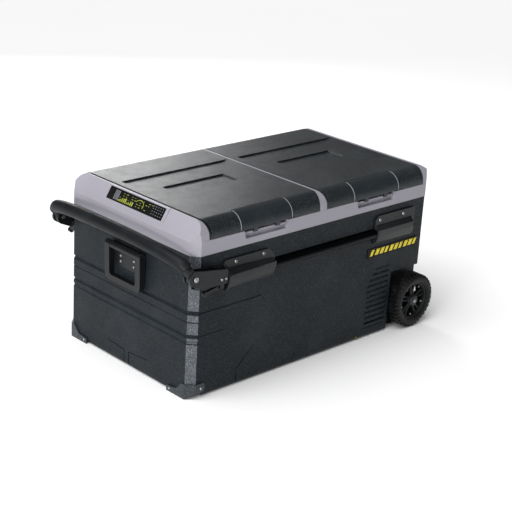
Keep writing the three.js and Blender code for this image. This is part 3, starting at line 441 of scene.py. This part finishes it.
def added(name, body, slot, bm, material=None, width=0.0, segments=2):
    """A new piece from mesh code, in millimetres, riding on a CAD body."""
    bmesh.ops.scale(bm, vec=(MM, MM, MM), verts=bm.verts)
    piece = mesh_object(name, bm)
    place(piece, body, material or LOOKS[slot])
    soften(piece, width, segments)
    return piece


def faces_between(bm, rings, looped=False):
    """Skins a list of rings of vertices, with a cap at each end or, looped, with the ends joined."""
    count = len(rings[0])
    pairs = list(zip(rings, rings[1:]))
    if looped:
        pairs.append((rings[-1], rings[0]))
    for first, second in pairs:
        for i in range(count):
            j = (i + 1) % count
            bm.faces.new((first[i], first[j], second[j], second[i]))
    if not looped:
        bm.faces.new(rings[0])
        bm.faces.new(list(reversed(rings[-1])))


def revolve(bm, profile, centre, sides, axis="y"):
    """Skins a closed profile of (radius, height) points, turned round the x or y axis through centre."""
    rings = []
    for radius, height in profile:
        ring = []
        for i in range(sides):
            angle = 2 * math.pi * i / sides
            a, b = radius * math.cos(angle), radius * math.sin(angle)
            point = {
                "x": (height, centre[0] + a, centre[1] + b),
                "y": (centre[0] + a, height, centre[1] + b),
            }[axis]
            ring.append(bm.verts.new(point))
        rings.append(ring)
    faces_between(bm, rings, looped=True)


def sweep(bm, points, radii, sides):
    """A round rod along points, with its own radius at each."""
    rings = []
    side = None
    for i, point in enumerate(points):
        before, after = points[max(i - 1, 0)], points[min(i + 1, len(points) - 1)]
        along = (after - before).normalized()
        if side is None:
            side = along.orthogonal().normalized()
        side = (side - along * side.dot(along)).normalized()
        up = along.cross(side)
        ring = []
        for k in range(sides):
            angle = 2 * math.pi * k / sides
            offset = math.cos(angle) * side + math.sin(angle) * up
            ring.append(bm.verts.new(point + radii[i] * offset))
        rings.append(ring)
    faces_between(bm, rings)


def slab(bm, outline, normal_shift):
    """A flat plate: an outline of points, thickened by the vector normal_shift."""
    lower = [bm.verts.new(p) for p in outline]
    upper = [bm.verts.new(Vector(p) + Vector(normal_shift)) for p in outline]
    faces_between(bm, [lower, upper])


# Sides of the round pieces.
ROUND = {"sleeve": 48, "neck": 32, "eye": 40, "tube": 48, "tyre": 96, "barrel": 72, "hub": 48, "boss": 20}
BOLT_SIDES = 24
# A bolt head's outline: share of its radius, share of its height, and whether the ring is a hexagon.
BOLT_OUTLINE = (
    (1.0, 0.0, False),
    (1.0, 0.35, False),
    (0.86, 0.75, False),
    (0.62, 0.97, False),
    (0.5, 1.0, True),
    (0.46, 0.35, True),
    (0.02, 0.3, True),
)
HEXAGON_FLAT = 0.87


def bolt(bm, place_at, facing, radius, height):
    """A domed head with a hexagon socket, standing on place_at and facing along a unit vector."""
    facing = Vector(facing)
    side = facing.orthogonal().normalized()
    up = facing.cross(side)
    rings = []
    for share, rise, hexed in BOLT_OUTLINE:
        ring = []
        for k in range(BOLT_SIDES):
            angle = 2 * math.pi * k / BOLT_SIDES
            reach = share * radius
            if hexed:
                sixth = angle % (math.pi / 3) - math.pi / 6
                reach *= HEXAGON_FLAT / math.cos(sixth)
            offset = reach * (math.cos(angle) * side + math.sin(angle) * up)
            ring.append(bm.verts.new(Vector(place_at) + offset + facing * rise * height))
        rings.append(ring)
    faces_between(bm, rings)


# Widths of the CAD pieces' softened edges, in millimetres; 0 keeps a piece's edges crisp.
COMMON_EDGE_WIDTH = 0.8
EDGE_WIDTHS = {
    "outer_shell": 0.9,
    "bezel_frame": 1.2,
    "lid_left_cover": 1.2,
    "lid_right_cover": 1.2,
    "liner_left": 0.8,
    "liner_right": 0.8,
    "control_window": 0.3,
    "badge": 0.3,
    "lid_left_gasket": 1.0,
    "lid_right_gasket": 1.0,
    "handle_yoke_near": 3.0,
    "handle_yoke_far": 3.0,
    "tube_bracket_front_near": 1.6,
    "tube_bracket_front_far": 1.6,
    "tube_bracket_rear_near": 1.6,
    "tube_bracket_rear_far": 1.6,
    "bail_front": 2.4,
    "bail_rear": 2.4,
    "corner_guard_near": 1.4,
    "corner_guard_far": 1.4,
    "latch_left": 1.2,
    "latch_right": 1.2,
    "vent_grille_near": 0,
    "vent_grille_far": 0,
}


# ---- the pull handle's bar and sleeve --------------------------------------------------------------
PIVOT = Vector((-427, 252, 321))
BAR_PATH = [
    (-432, 252, 329),
    (-440, 250.5, 342),
    (-447, 241, 353),
    (-451.5, 217, 360),
    (-456, 154, 367.5),
]
BAR_MIDDLE = (-459, 0, 372)
BAR_STEPS = 10
SLEEVE_R, SLEEVE_CLEARANCE = 16.4, 29
COLLAR_RISE, COLLAR_END_DROP = 1.0, 2.2
NECK_R, NECK_REACH = 11.5, 34
EYE_R, EYE_BORE, EYE_HALF, EYE_CHAMFER = 15, 5.3, 5.8, (1, 1.2)


def rounded_path(points, steps):
    """A centripetal Catmull-Rom curve through points."""
    points = [Vector(p) for p in points]
    ends = [2 * points[0] - points[1], *points, 2 * points[-1] - points[-2]]
    path = []
    for p0, p1, p2, p3 in zip(ends, ends[1:], ends[2:], ends[3:]):
        knots = [0.0]
        for a, b in ((p0, p1), (p1, p2), (p2, p3)):
            knots.append(knots[-1] + math.sqrt((b - a).length))
        t0, t1, t2, t3 = knots
        for i in range(steps):
            t = t1 + (t2 - t1) * i / steps
            a1 = p0 * ((t1 - t) / (t1 - t0)) + p1 * ((t - t0) / (t1 - t0))
            a2 = p1 * ((t2 - t) / (t2 - t1)) + p2 * ((t - t1) / (t2 - t1))
            a3 = p2 * ((t3 - t) / (t3 - t2)) + p3 * ((t - t2) / (t3 - t2))
            b1 = a1 * ((t2 - t) / (t2 - t0)) + a2 * ((t - t0) / (t2 - t0))
            b2 = a2 * ((t3 - t) / (t3 - t1)) + a3 * ((t - t1) / (t3 - t1))
            path.append(b1 * ((t2 - t) / (t2 - t1)) + b2 * ((t - t1) / (t2 - t1)))
    path.append(points[-1])
    return path


def make_pull_bar():
    near = [(x, -y, z) for x, y, z in BAR_PATH]
    path = rounded_path([*near, BAR_MIDDLE, *reversed(BAR_PATH)], BAR_STEPS)
    reach = [min((p - pivot_on(side)).length for side in SIDES.values()) for p in path]
    make_pull_sleeve([p for p, r in zip(path, reach) if r > SLEEVE_CLEARANCE])

    bm = bmesh.new()
    for side in SIDES.values():
        neck = [p for p, r in zip(path, reach) if r < NECK_REACH and p.y * side > 0]
        sweep(bm, neck, [NECK_R] * len(neck), ROUND["neck"])
    for side in SIDES.values():
        inset, shoulder_at = EYE_R - EYE_CHAMFER[0], EYE_HALF - EYE_CHAMFER[1]
        outline = [(EYE_BORE, -EYE_HALF), (inset, -EYE_HALF), (EYE_R, -shoulder_at)]
        outline += [(EYE_R, shoulder_at), (inset, EYE_HALF), (EYE_BORE, EYE_HALF)]
        profile = [(r, side * PIVOT.y + h) for r, h in outline]
        revolve(bm, profile, (PIVOT.x, PIVOT.z), ROUND["eye"])
    bar = added("pull_bar_ends", "pull_handle", "hardware", bm)
    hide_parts("pull_bar")


def make_pull_sleeve(path):
    """A soft sleeve with a rolled collar at each end, clear of both yokes."""
    radii = []
    for i in range(len(path)):
        from_end = min(i, len(path) - 1 - i)
        radii.append(SLEEVE_R + {0: -COLLAR_END_DROP, 1: COLLAR_RISE, 2: COLLAR_RISE}.get(from_end, 0))
    bm = bmesh.new()
    sweep(bm, path, radii, ROUND["sleeve"])
    sleeve = added("pull_sleeve", "pull_handle", "grip", bm)
    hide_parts("grip_sleeve")


def pivot_on(side):
    return Vector((PIVOT.x, side * PIVOT.y, PIVOT.z))


# ---- tubes ----------------------------------------------------------------------------------------
RAIL = {"y": 240, "z": 293}
TUBE_CHAMFER = 0.6
TUBES = {
    "guide_tube": {"body": "cabinet", "outer": 12, "inner": 10},
    "slide_tube": {"body": "handle_carriage", "outer": 9.5, "inner": 7.7},
}


def make_tubes():
    for side_name, side in SIDES.items():
        for kind, tube in TUBES.items():
            node = f"{kind}_{side_name}"
            low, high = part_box(node)
            x0, x1 = low.x / MM, high.x / MM
            outer, inner = tube["outer"], tube["inner"]
            outline = [(inner, x0), (outer - TUBE_CHAMFER, x0), (outer, x0 + TUBE_CHAMFER)]
            outline += [(outer, x1 - TUBE_CHAMFER), (outer - TUBE_CHAMFER, x1), (inner, x1)]
            bm = bmesh.new()
            revolve(bm, outline, (side * RAIL["y"], RAIL["z"]), ROUND["tube"], "x")
            piece = added(f"{node}_look", tube["body"], "tube", bm)
            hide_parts(node)


# ---- wheels ---------------------------------------------------------------------------------------
WHEEL = {"x": 361, "z": 75, "r": 74.4, "tread_r": 69.6, "inner": 223, "outer": 269}
WHEEL_CENTRE = (WHEEL["x"], WHEEL["z"])
RIM_R, HUB_R, AXLE_BORE = 50, 17, 6.45
LUG_COUNT, LUG_SHARE, LUG_LEAN, LUG_TAPER = 36, 0.56, 0.12, 0.12
SHOULDER_SHARE, SHOULDER_START = 0.5, 0.1
SPOKE_PAIRS, SPOKE_SPLAY = 5, 0.17
BOSS_REACH, BOSS_BACK, BOSS_DEPTH, BOSS_RADII = 41.5, 250, 7.4, (4.6, 4.0)
RIM_BOLT = {"y": 257.5, "head": (2.4, 1.6)}
HUB_BOLT = {"y": 267.3, "head": (5.0, 1.6)}
# A tyre's half section: radius, and depth inwards from its side face.
TYRE_SECTION = (
    (RIM_R + 0.3, 4),
    (53, 2.2),
    (56, 1.4),
    (60, 0),
    (64, 0.6),
    (68, 3),
    (WHEEL["tread_r"] - 0.6, 7),
    (WHEEL["tread_r"], 12),
)
# A shoulder block's outline: radius, and depth inwards.
SHOULDER_OUTLINE = ((60.5, 1.6), (61.5, -0.9), (69.5, 0.6), (73.2, 4.6), (69.5, 7.5), (65.0, 5.0))
# The rim's outlines: radius, and distance out from the cabinet's middle.
BARREL_OUTLINE = (
    (46.6, 230),
    (50, 229.4),
    (50, 262.6),
    (48.6, 263.4),
    (46.6, 262.4),
    (44.8, 256),
    (44.6, 246),
)
HUB_OUTLINE = (
    (AXLE_BORE, 227),
    (HUB_R, 227),
    (HUB_R + 1, 250),
    (HUB_R, 258.5),
    (HUB_R - 1.5, 260.2),
    (AXLE_BORE, 260.2),
)
# A spoke's sections: radius, half width, front and back.
SPOKE_SECTIONS = ((15.5, 3.4, 257.5, 243), (30, 2.9, 256, 244.5), (45.4, 3.6, 257.5, 245))
SPOKE_RIDGE = {"share": 0.35, "depth": 1.6}


def around_wheel(angle, radius, y):
    return Vector(
        (WHEEL["x"] + radius * math.cos(angle), y, WHEEL["z"] + radius * math.sin(angle))
    )


def tyre_mesh(side):
    bm = bmesh.new()
    inner, outer, tread = WHEEL["inner"], WHEEL["outer"], WHEEL["tread_r"]
    middle = (inner + outer) / 2
    section = [(r, inner + depth) for r, depth in TYRE_SECTION]
    section.append((tread + 0.4, middle))
    section += [(r, outer - depth) for r, depth in reversed(TYRE_SECTION)]
    revolve(bm, [(r, side * y) for r, y in section], WHEEL_CENTRE, ROUND["tyre"])
    step = 2 * math.pi / LUG_COUNT
    rows = (
        (inner + 5, inner + 15, LUG_LEAN),
        (middle - 6.5, middle + 6.5, 0),
        (outer - 15, outer - 5, -LUG_LEAN),
    )
    for i in range(LUG_COUNT):
        for row, (low, high, lean) in enumerate(rows):
            start = (i + 0.5 * (row % 2)) * step
            lug(bm, start, step * LUG_SHARE, side * low, side * high, lean * side)
        for edge, inward in ((outer - 1.2, -1), (inner + 1.2, 1)):
            start = (i + SHOULDER_START) * step
            shoulder(bm, start, step * SHOULDER_SHARE, side * edge, side * inward)
    return bm


def lug(bm, start, width, y0, y1, lean):
    """A tread block, narrower at its top and leaning round the tyre."""
    rings = []
    for radius, shrink in ((WHEEL["tread_r"] - 1.5, 0.0), (WHEEL["r"], LUG_TAPER)):
        ring = []
        for t, y in ((shrink, y0), (1 - shrink, y0), (1 - shrink, y1), (shrink, y1)):
            twist = lean * 0.5 if y == y1 else 0
            ring.append(bm.verts.new(around_wheel(start + width * t + twist, radius, y)))
        rings.append(ring)
    faces_between(bm, rings)


def shoulder(bm, start, width, edge, inward):
    """A block that runs from the tread down onto the side wall."""
    rings = []
    for t in (0, 1):
        ring = [
            bm.verts.new(around_wheel(start + width * t, radius, edge + inward * depth))
            for radius, depth in SHOULDER_OUTLINE
        ]
        rings.append(ring)
    faces_between(bm, rings)


def rim_mesh(side):
    bm = bmesh.new()
    revolve(bm, [(r, side * y) for r, y in BARREL_OUTLINE], WHEEL_CENTRE, ROUND["barrel"])
    revolve(bm, [(r, side * y) for r, y in HUB_OUTLINE], WHEEL_CENTRE, ROUND["hub"])
    for i in range(SPOKE_PAIRS):
        back = around_wheel(boss_angle(i), BOSS_REACH, side * BOSS_BACK)
        front = back + Vector((0, side * BOSS_DEPTH, 0))
        sweep(bm, [back, front], BOSS_RADII, ROUND["boss"])
        middle = 2 * math.pi * (i + 0.25) / SPOKE_PAIRS
        for offset in (-SPOKE_SPLAY, SPOKE_SPLAY):
            spoke(bm, middle + offset, offset, side)
    return bm


def boss_angle(i):
    """Where the rim's bolt boss stands between two pairs of spokes."""
    return 2 * math.pi * (i + 0.75) / SPOKE_PAIRS


def spoke(bm, angle, splay, side):
    """A tapered spoke from the hub to the barrel, ridged along its middle."""
    ridge, depth = SPOKE_RIDGE["share"], SPOKE_RIDGE["depth"]
    rings = []
    for radius, half, front, back in SPOKE_SECTIONS:
        turn = angle + splay * (0.5 if radius < HUB_R else 0.0)
        across = Vector((-math.sin(turn), 0, math.cos(turn)))
        base = around_wheel(turn, radius, 0)
        section = ((-half, back), (half, back), (half, front - depth), (half * ridge, front))
        section += ((-half * ridge, front), (-half, front - depth))
        rings.append([bm.verts.new(base + across * c + Vector((0, side * y, 0))) for c, y in section])
    faces_between(bm, rings)


def make_wheels():
    for side_name, side in SIDES.items():
        body = f"wheel_{side_name}"
        tyre = added(f"knobbly_tyre_{side_name}", body, "tyre", tyre_mesh(side), width=0.35, segments=1)
        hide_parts(f"tyre_{side_name}")
        rim = added(f"spoked_rim_{side_name}", body, "hardware", rim_mesh(side), width=0.5)
        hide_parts(f"rim_{side_name}")
        bm = bmesh.new()
        facing = (0, side, 0)
        for i in range(SPOKE_PAIRS):
            place_at = around_wheel(boss_angle(i), BOSS_REACH, side * RIM_BOLT["y"])
            bolt(bm, place_at, facing, *RIM_BOLT["head"])
        bolt(bm, around_wheel(0, 0, side * HUB_BOLT["y"]), facing, *HUB_BOLT["head"])
        added(f"rim_bolts_{side_name}", body, "steel", bm)


# ---- fixings --------------------------------------------------------------------------------------
SIDE_BOLTS = {
    "front_bracket": {"at": ((-287, 327.5), (-198, 327.5)), "y": 244.4, "head": (4.6, 2.8)},
    "rear_bracket": {"at": ((213, 329.5), (304, 329.5)), "y": 244.4, "head": (4.6, 2.8)},
    "guard": {"at": ((-377, 25),), "y": 243.2, "head": (3.6, 2.0)},
}
GUARD_END_BOLT = {"x": -413.2, "y": 170, "z": 8}
BAIL_PLATE = {"x": 413.1, "y": 25, "z": (269.5, 284)}
SMALL_HEAD = (3.4, 2.0)
YOKE_BOLTS = {"at": ((-347, 302), (-333.5, 302)), "y": 264.9}
PIVOT_HEAD = {"y": 268.2, "head": (4.2, 1.6)}
BASE_SCREW = {"x": 167, "y": 238.9, "z": 9, "head": (2.6, 1.4)}


def make_fixings():
    cabinet = bmesh.new()
    for side in SIDES.values():
        facing = (0, side, 0)
        for group in SIDE_BOLTS.values():
            for x, z in group["at"]:
                bolt(cabinet, (x, side * group["y"], z), facing, *group["head"])
        end_bolt = (GUARD_END_BOLT["x"], side * GUARD_END_BOLT["y"], GUARD_END_BOLT["z"])
        bolt(cabinet, end_bolt, (-1, 0, 0), *SMALL_HEAD)
    for end in (-1, 1):
        for z in BAIL_PLATE["z"]:
            for y in (-BAIL_PLATE["y"], BAIL_PLATE["y"]):
                bolt(cabinet, (end * BAIL_PLATE["x"], y, z), (end, 0, 0), *SMALL_HEAD)
    added("bracket_bolts", "cabinet", "steel", cabinet)

    carriage = bmesh.new()
    for side in SIDES.values():
        facing = (0, side, 0)
        for x, z in YOKE_BOLTS["at"]:
            bolt(carriage, (x, side * YOKE_BOLTS["y"], z), facing, *SMALL_HEAD)
        bolt(carriage, (PIVOT.x, side * PIVOT_HEAD["y"], PIVOT.z), facing, *PIVOT_HEAD["head"])
    added("yoke_bolts", "handle_carriage", "steel", carriage)

    base = bmesh.new()
    for side in SIDES.values():
        place_at = (BASE_SCREW["x"], side * BASE_SCREW["y"], BASE_SCREW["z"])
        bolt(base, place_at, (0, side, 0), *BASE_SCREW["head"])
    added("base_screws", "cabinet", "steel", base, BRASS)


# ---- badge and display ----------------------------------------------------------------------------
BADGE_BARS = {"count": 10, "x": 190, "pitch": 18.4, "wide": 12.5, "narrow": 9.5, "lean": 7.5}
BADGE_FACE = {"y": -241.1, "low": 232.5, "high": 248.5, "thick": 0.7}


def make_badge_bars():
    bm = bmesh.new()
    face, low, high = BADGE_FACE["y"], BADGE_FACE["low"], BADGE_FACE["high"]
    lean = BADGE_BARS["lean"]
    for i in range(BADGE_BARS["count"]):
        x0 = BADGE_BARS["x"] + BADGE_BARS["pitch"] * i
        x1 = x0 + (BADGE_BARS["wide"] if i % 3 else BADGE_BARS["narrow"])
        outline = [(x0, face, low), (x1, face, low), (x1 + lean, face, high), (x0 + lean, face, high)]
        slab(bm, outline, (0, -BADGE_FACE["thick"], 0))
    added("badge_bars", "cabinet", "badge", bm, YELLOW, 0.25)


SLOPE_FOOT = Vector((-410, 0, 392))
SLOPE_HEAD = Vector((-381.5, 0, 438.5))
SLOPE_UP = (SLOPE_HEAD - SLOPE_FOOT).normalized()
SLOPE_OUT = Vector((-SLOPE_UP.z, 0, SLOPE_UP.x))
MARK_DEPTH, MARK_THICK = -0.12, 0.25
LEVEL_BARS = {"count": 9, "y": 62, "pitch": 6.4, "width": 3.5, "foot": 22, "head": 25.5, "rise": 2.2}
ARC = {"count": 14, "y": -14, "up": 31, "half": 15, "height": 12, "start": 200, "step": 13}
DASHES = {"rows": (25, 31, 37, 43), "count": 12, "y": 60, "pitch": 10.5, "height": 1.2, "lean": -0.6}
DASH_CHANCE, DASH_LENGTHS = 0.62, (2.5, 6.5)
DOTS = {"rows": (24, 31, 38, 44), "count": 5, "y": -62, "pitch": 8.2, "size": (2.4, 2.0)}
BLOCK = {"count": 4, "y": 80, "pitch": 4.6, "width": 2.6, "foot": 22, "head": 46}


def on_console(y, up, out):
    """A point on the console's slope: up from its foot and out from its face."""
    return SLOPE_FOOT + SLOPE_UP * up + SLOPE_OUT * out + Vector((0, y, 0))


def console_mark(bm, y0, y1, up0, up1, lean=0.0):
    outline = [
        on_console(y0, up0, MARK_DEPTH),
        on_console(y1, up0, MARK_DEPTH),
        on_console(y1 + lean, up1, MARK_DEPTH),
        on_console(y0 + lean, up1, MARK_DEPTH),
    ]
    slab(bm, outline, SLOPE_OUT * MARK_THICK)


def make_display():
    """Generic dim marks on the window: level bars, an arc, dashes, dots and a grey block."""
    random.seed(11)
    lit = bmesh.new()
    for i in range(LEVEL_BARS["count"]):
        y = LEVEL_BARS["y"] - LEVEL_BARS["pitch"] * i
        head = LEVEL_BARS["head"] + LEVEL_BARS["rise"] * (i % 5)
        console_mark(lit, y, y - LEVEL_BARS["width"], LEVEL_BARS["foot"], head)
    for i in range(ARC["count"]):
        angle = math.radians(ARC["start"] - ARC["step"] * i)
        y, up = ARC["y"] + ARC["half"] * math.cos(angle), ARC["up"] + ARC["height"] * math.sin(angle)
        console_mark(lit, y + 1.1, y - 1.1, up, up + 1.8)
    for row in DASHES["rows"]:
        for i in range(DASHES["count"]):
            if random.random() < DASH_CHANCE:
                y = DASHES["y"] - DASHES["pitch"] * i
                end = y - random.uniform(*DASH_LENGTHS)
                console_mark(lit, y, end, row, row + DASHES["height"], DASHES["lean"])
    added("display_marks", "cabinet", "display", lit, SCREEN_MARKS)

    pale = bmesh.new()
    width, height = DOTS["size"]
    for row in DOTS["rows"]:
        for i in range(DOTS["count"]):
            y = DOTS["y"] - DOTS["pitch"] * i
            console_mark(pale, y, y - width, row, row + height)
    for i in range(BLOCK["count"]):
        y = BLOCK["y"] - BLOCK["pitch"] * i
        console_mark(pale, y, y - BLOCK["width"], BLOCK["foot"], BLOCK["head"])
    added("display_dots", "cabinet", "display", pale, SCREEN_GREY)


# ---- painted highlight and shadow strips on the lids -----------------------------------------------
LID_MIDDLES = {"left": -188, "right": 196.5}
ROLL = {"half_w": 240, "top": 438, "r": 37}
FLAP_LIPS = {"start": 82.1, "end": 83.6, "depth": -1.5, "rise": 0.7, "low": -4, "sweep": 90, "steps": 14}
# Size and place of a near-black strip on the left lid: a painted shadow along its gap to the console.
CONSOLE_GAP_SHADOW = {"x": -373.9, "width": 2.6, "depth": -0.8, "rise": 0.2, "low": 10, "sweep": 80, "steps": 12}
LID_TAPER, CONSOLE_GAP_SHADOW_FAR_Y = 9, 200


def roll_point(out, angle):
    """A point (y, z) over the lids' rounded near edge, out from its surface."""
    centre_y, centre_z = ROLL["r"] - ROLL["half_w"], ROLL["top"] - ROLL["r"]
    r = ROLL["r"] + out
    return centre_y - r * math.cos(angle), centre_z + r * math.sin(angle)


def over_roll(trim):
    """Pairs of inner and outer (y, z) points of a trim, up the lids' near edge."""
    pairs = []
    for i in range(trim["steps"] + 1):
        angle = math.radians(trim["low"] + trim["sweep"] * i / trim["steps"])
        pairs.append((roll_point(trim["depth"], angle), roll_point(trim["rise"], angle)))
    return pairs


def trim_ring(bm, x0, x1, inner, outer):
    corners = ((x0, *inner), (x1, *inner), (x1, *outer), (x0, *outer))
    return [bm.verts.new(corner) for corner in corners]


def make_flap_highlight_lips():
    """A pale strip down each end of the latch flaps' seats: a painted highlight for the light those edges
    catch.
    """
    for side, middle in LID_MIDDLES.items():
        bm = bmesh.new()
        for x0, x1 in (
            (middle - FLAP_LIPS["end"], middle - FLAP_LIPS["start"]),
            (middle + FLAP_LIPS["start"], middle + FLAP_LIPS["end"]),
        ):
            faces_between(bm, [trim_ring(bm, x0, x1, inner, outer) for inner, outer in over_roll(FLAP_LIPS)])
        added(f"latch_highlight_lips_{side}", f"lid_{side}", "lid", bm, FLAP_LIP_HIGHLIGHT, 0.4)


def make_console_gap_shadow():
    """A thin near-black strip on the left lid along its gap to the console: a painted shadow for that gap.
    """
    pairs = over_roll(CONSOLE_GAP_SHADOW)
    pairs.append([(CONSOLE_GAP_SHADOW_FAR_Y, ROLL["top"] + CONSOLE_GAP_SHADOW[key]) for key in ("depth", "rise")])
    bm = bmesh.new()
    rings = []
    for inner, outer in pairs:
        past_roll = max(0, (ROLL["r"] - ROLL["half_w"] - outer[0]) / ROLL["r"])
        x0 = CONSOLE_GAP_SHADOW["x"] + LID_TAPER * past_roll
        rings.append(trim_ring(bm, x0, x0 + CONSOLE_GAP_SHADOW["width"], inner, outer))
    faces_between(bm, rings)
    added("console_gap_shadow", "lid_left", "lid", bm, LID_GAP_SHADE)


# ---- dressing --------------------------------------------------------------------------------------
REPLACED_LATER = {
    "pull_bar",
    "grip_sleeve",
    *(f"{kind}_{side}" for kind in ("guide_tube", "slide_tube", "tyre", "rim") for side in SIDES),
}


def dress_cad_nodes():
    for node in frame["nodes"]:
        if node in REPLACED_LATER:
            continue
        segments = 3 if "yoke" in node else 2
        piece = refined(node, EDGE_WIDTHS.get(node, COMMON_EDGE_WIDTH), segments)
        if node == "outer_shell":
            # Paler plastic on the shell's chamfers: a painted highlight.
            paint_corner_highlights(piece)


dress_cad_nodes()
make_pull_bar()
make_tubes()
make_wheels()
make_fixings()
make_badge_bars()
make_display()
make_flap_highlight_lips()
make_console_gap_shadow()


# ---- studio ---------------------------------------------------------------------------------------
FLOOR_HALF, FLOOR_DROP = 30, 0.6
WORLD_STRENGTH = 0.18
OVERHEAD = {"energy": 2.9, "angle": 60, "tilt": -32}
AREA_LIGHTS = {
    "corner_flash": {"at": (-2.9, -1.3, 0.6), "aim": (-0.35, -0.15, 0.2), "size": (0.7, 0.5), "power": 45},
    "lid_sheen": {"at": (1.2, 2.5, 1.42), "aim": (-0.3, 0.1, 0.43), "size": (1.1, 0.9), "power": 26},
}


def make_floor():
    bm = bmesh.new()
    bmesh.ops.create_grid(bm, x_segments=2, y_segments=2, size=FLOOR_HALF)
    floor = mesh_object("floor", bm)
    floor.location.z = -FLOOR_DROP * MM
    n = Nodes("floor_paint")
    tone = n.mixed(n.noise(1.5, 3), rgb(252, 252, 253), rgb(255, 255, 255))
    floor.data.materials.append(n.finish(tone, 0.9, specular=0.2))


def make_world():
    world = bpy.data.worlds.new("studio")
    world.use_nodes = True
    background = world.node_tree.nodes["Background"]
    background.inputs["Color"].default_value = (1.0, 1.0, 1.0, 1.0)
    background.inputs["Strength"].default_value = WORLD_STRENGTH
    bpy.context.scene.world = world


def make_overhead():
    data = bpy.data.lights.new("overhead", "SUN")
    data.energy = OVERHEAD["energy"]
    data.angle = math.radians(OVERHEAD["angle"])
    light = bpy.data.objects.new("overhead", data)
    light.rotation_euler = (0, math.radians(OVERHEAD["tilt"]), 0)
    bpy.context.scene.collection.objects.link(light)


def area_light(name, at, aim, size, power):
    data = bpy.data.lights.new(name, "AREA")
    data.shape = "RECTANGLE"
    data.size, data.size_y = size
    data.energy = power
    light = bpy.data.objects.new(name, data)
    bpy.context.scene.collection.objects.link(light)
    light.location = at
    light.rotation_mode = "QUATERNION"
    light.rotation_quaternion = (Vector(aim) - Vector(at)).to_track_quat("-Z", "Y")


make_floor()
make_world()
make_overhead()
for light_name, settings in AREA_LIGHTS.items():
    area_light(light_name, **settings)
bpy.context.scene.view_settings.view_transform = "Standard"
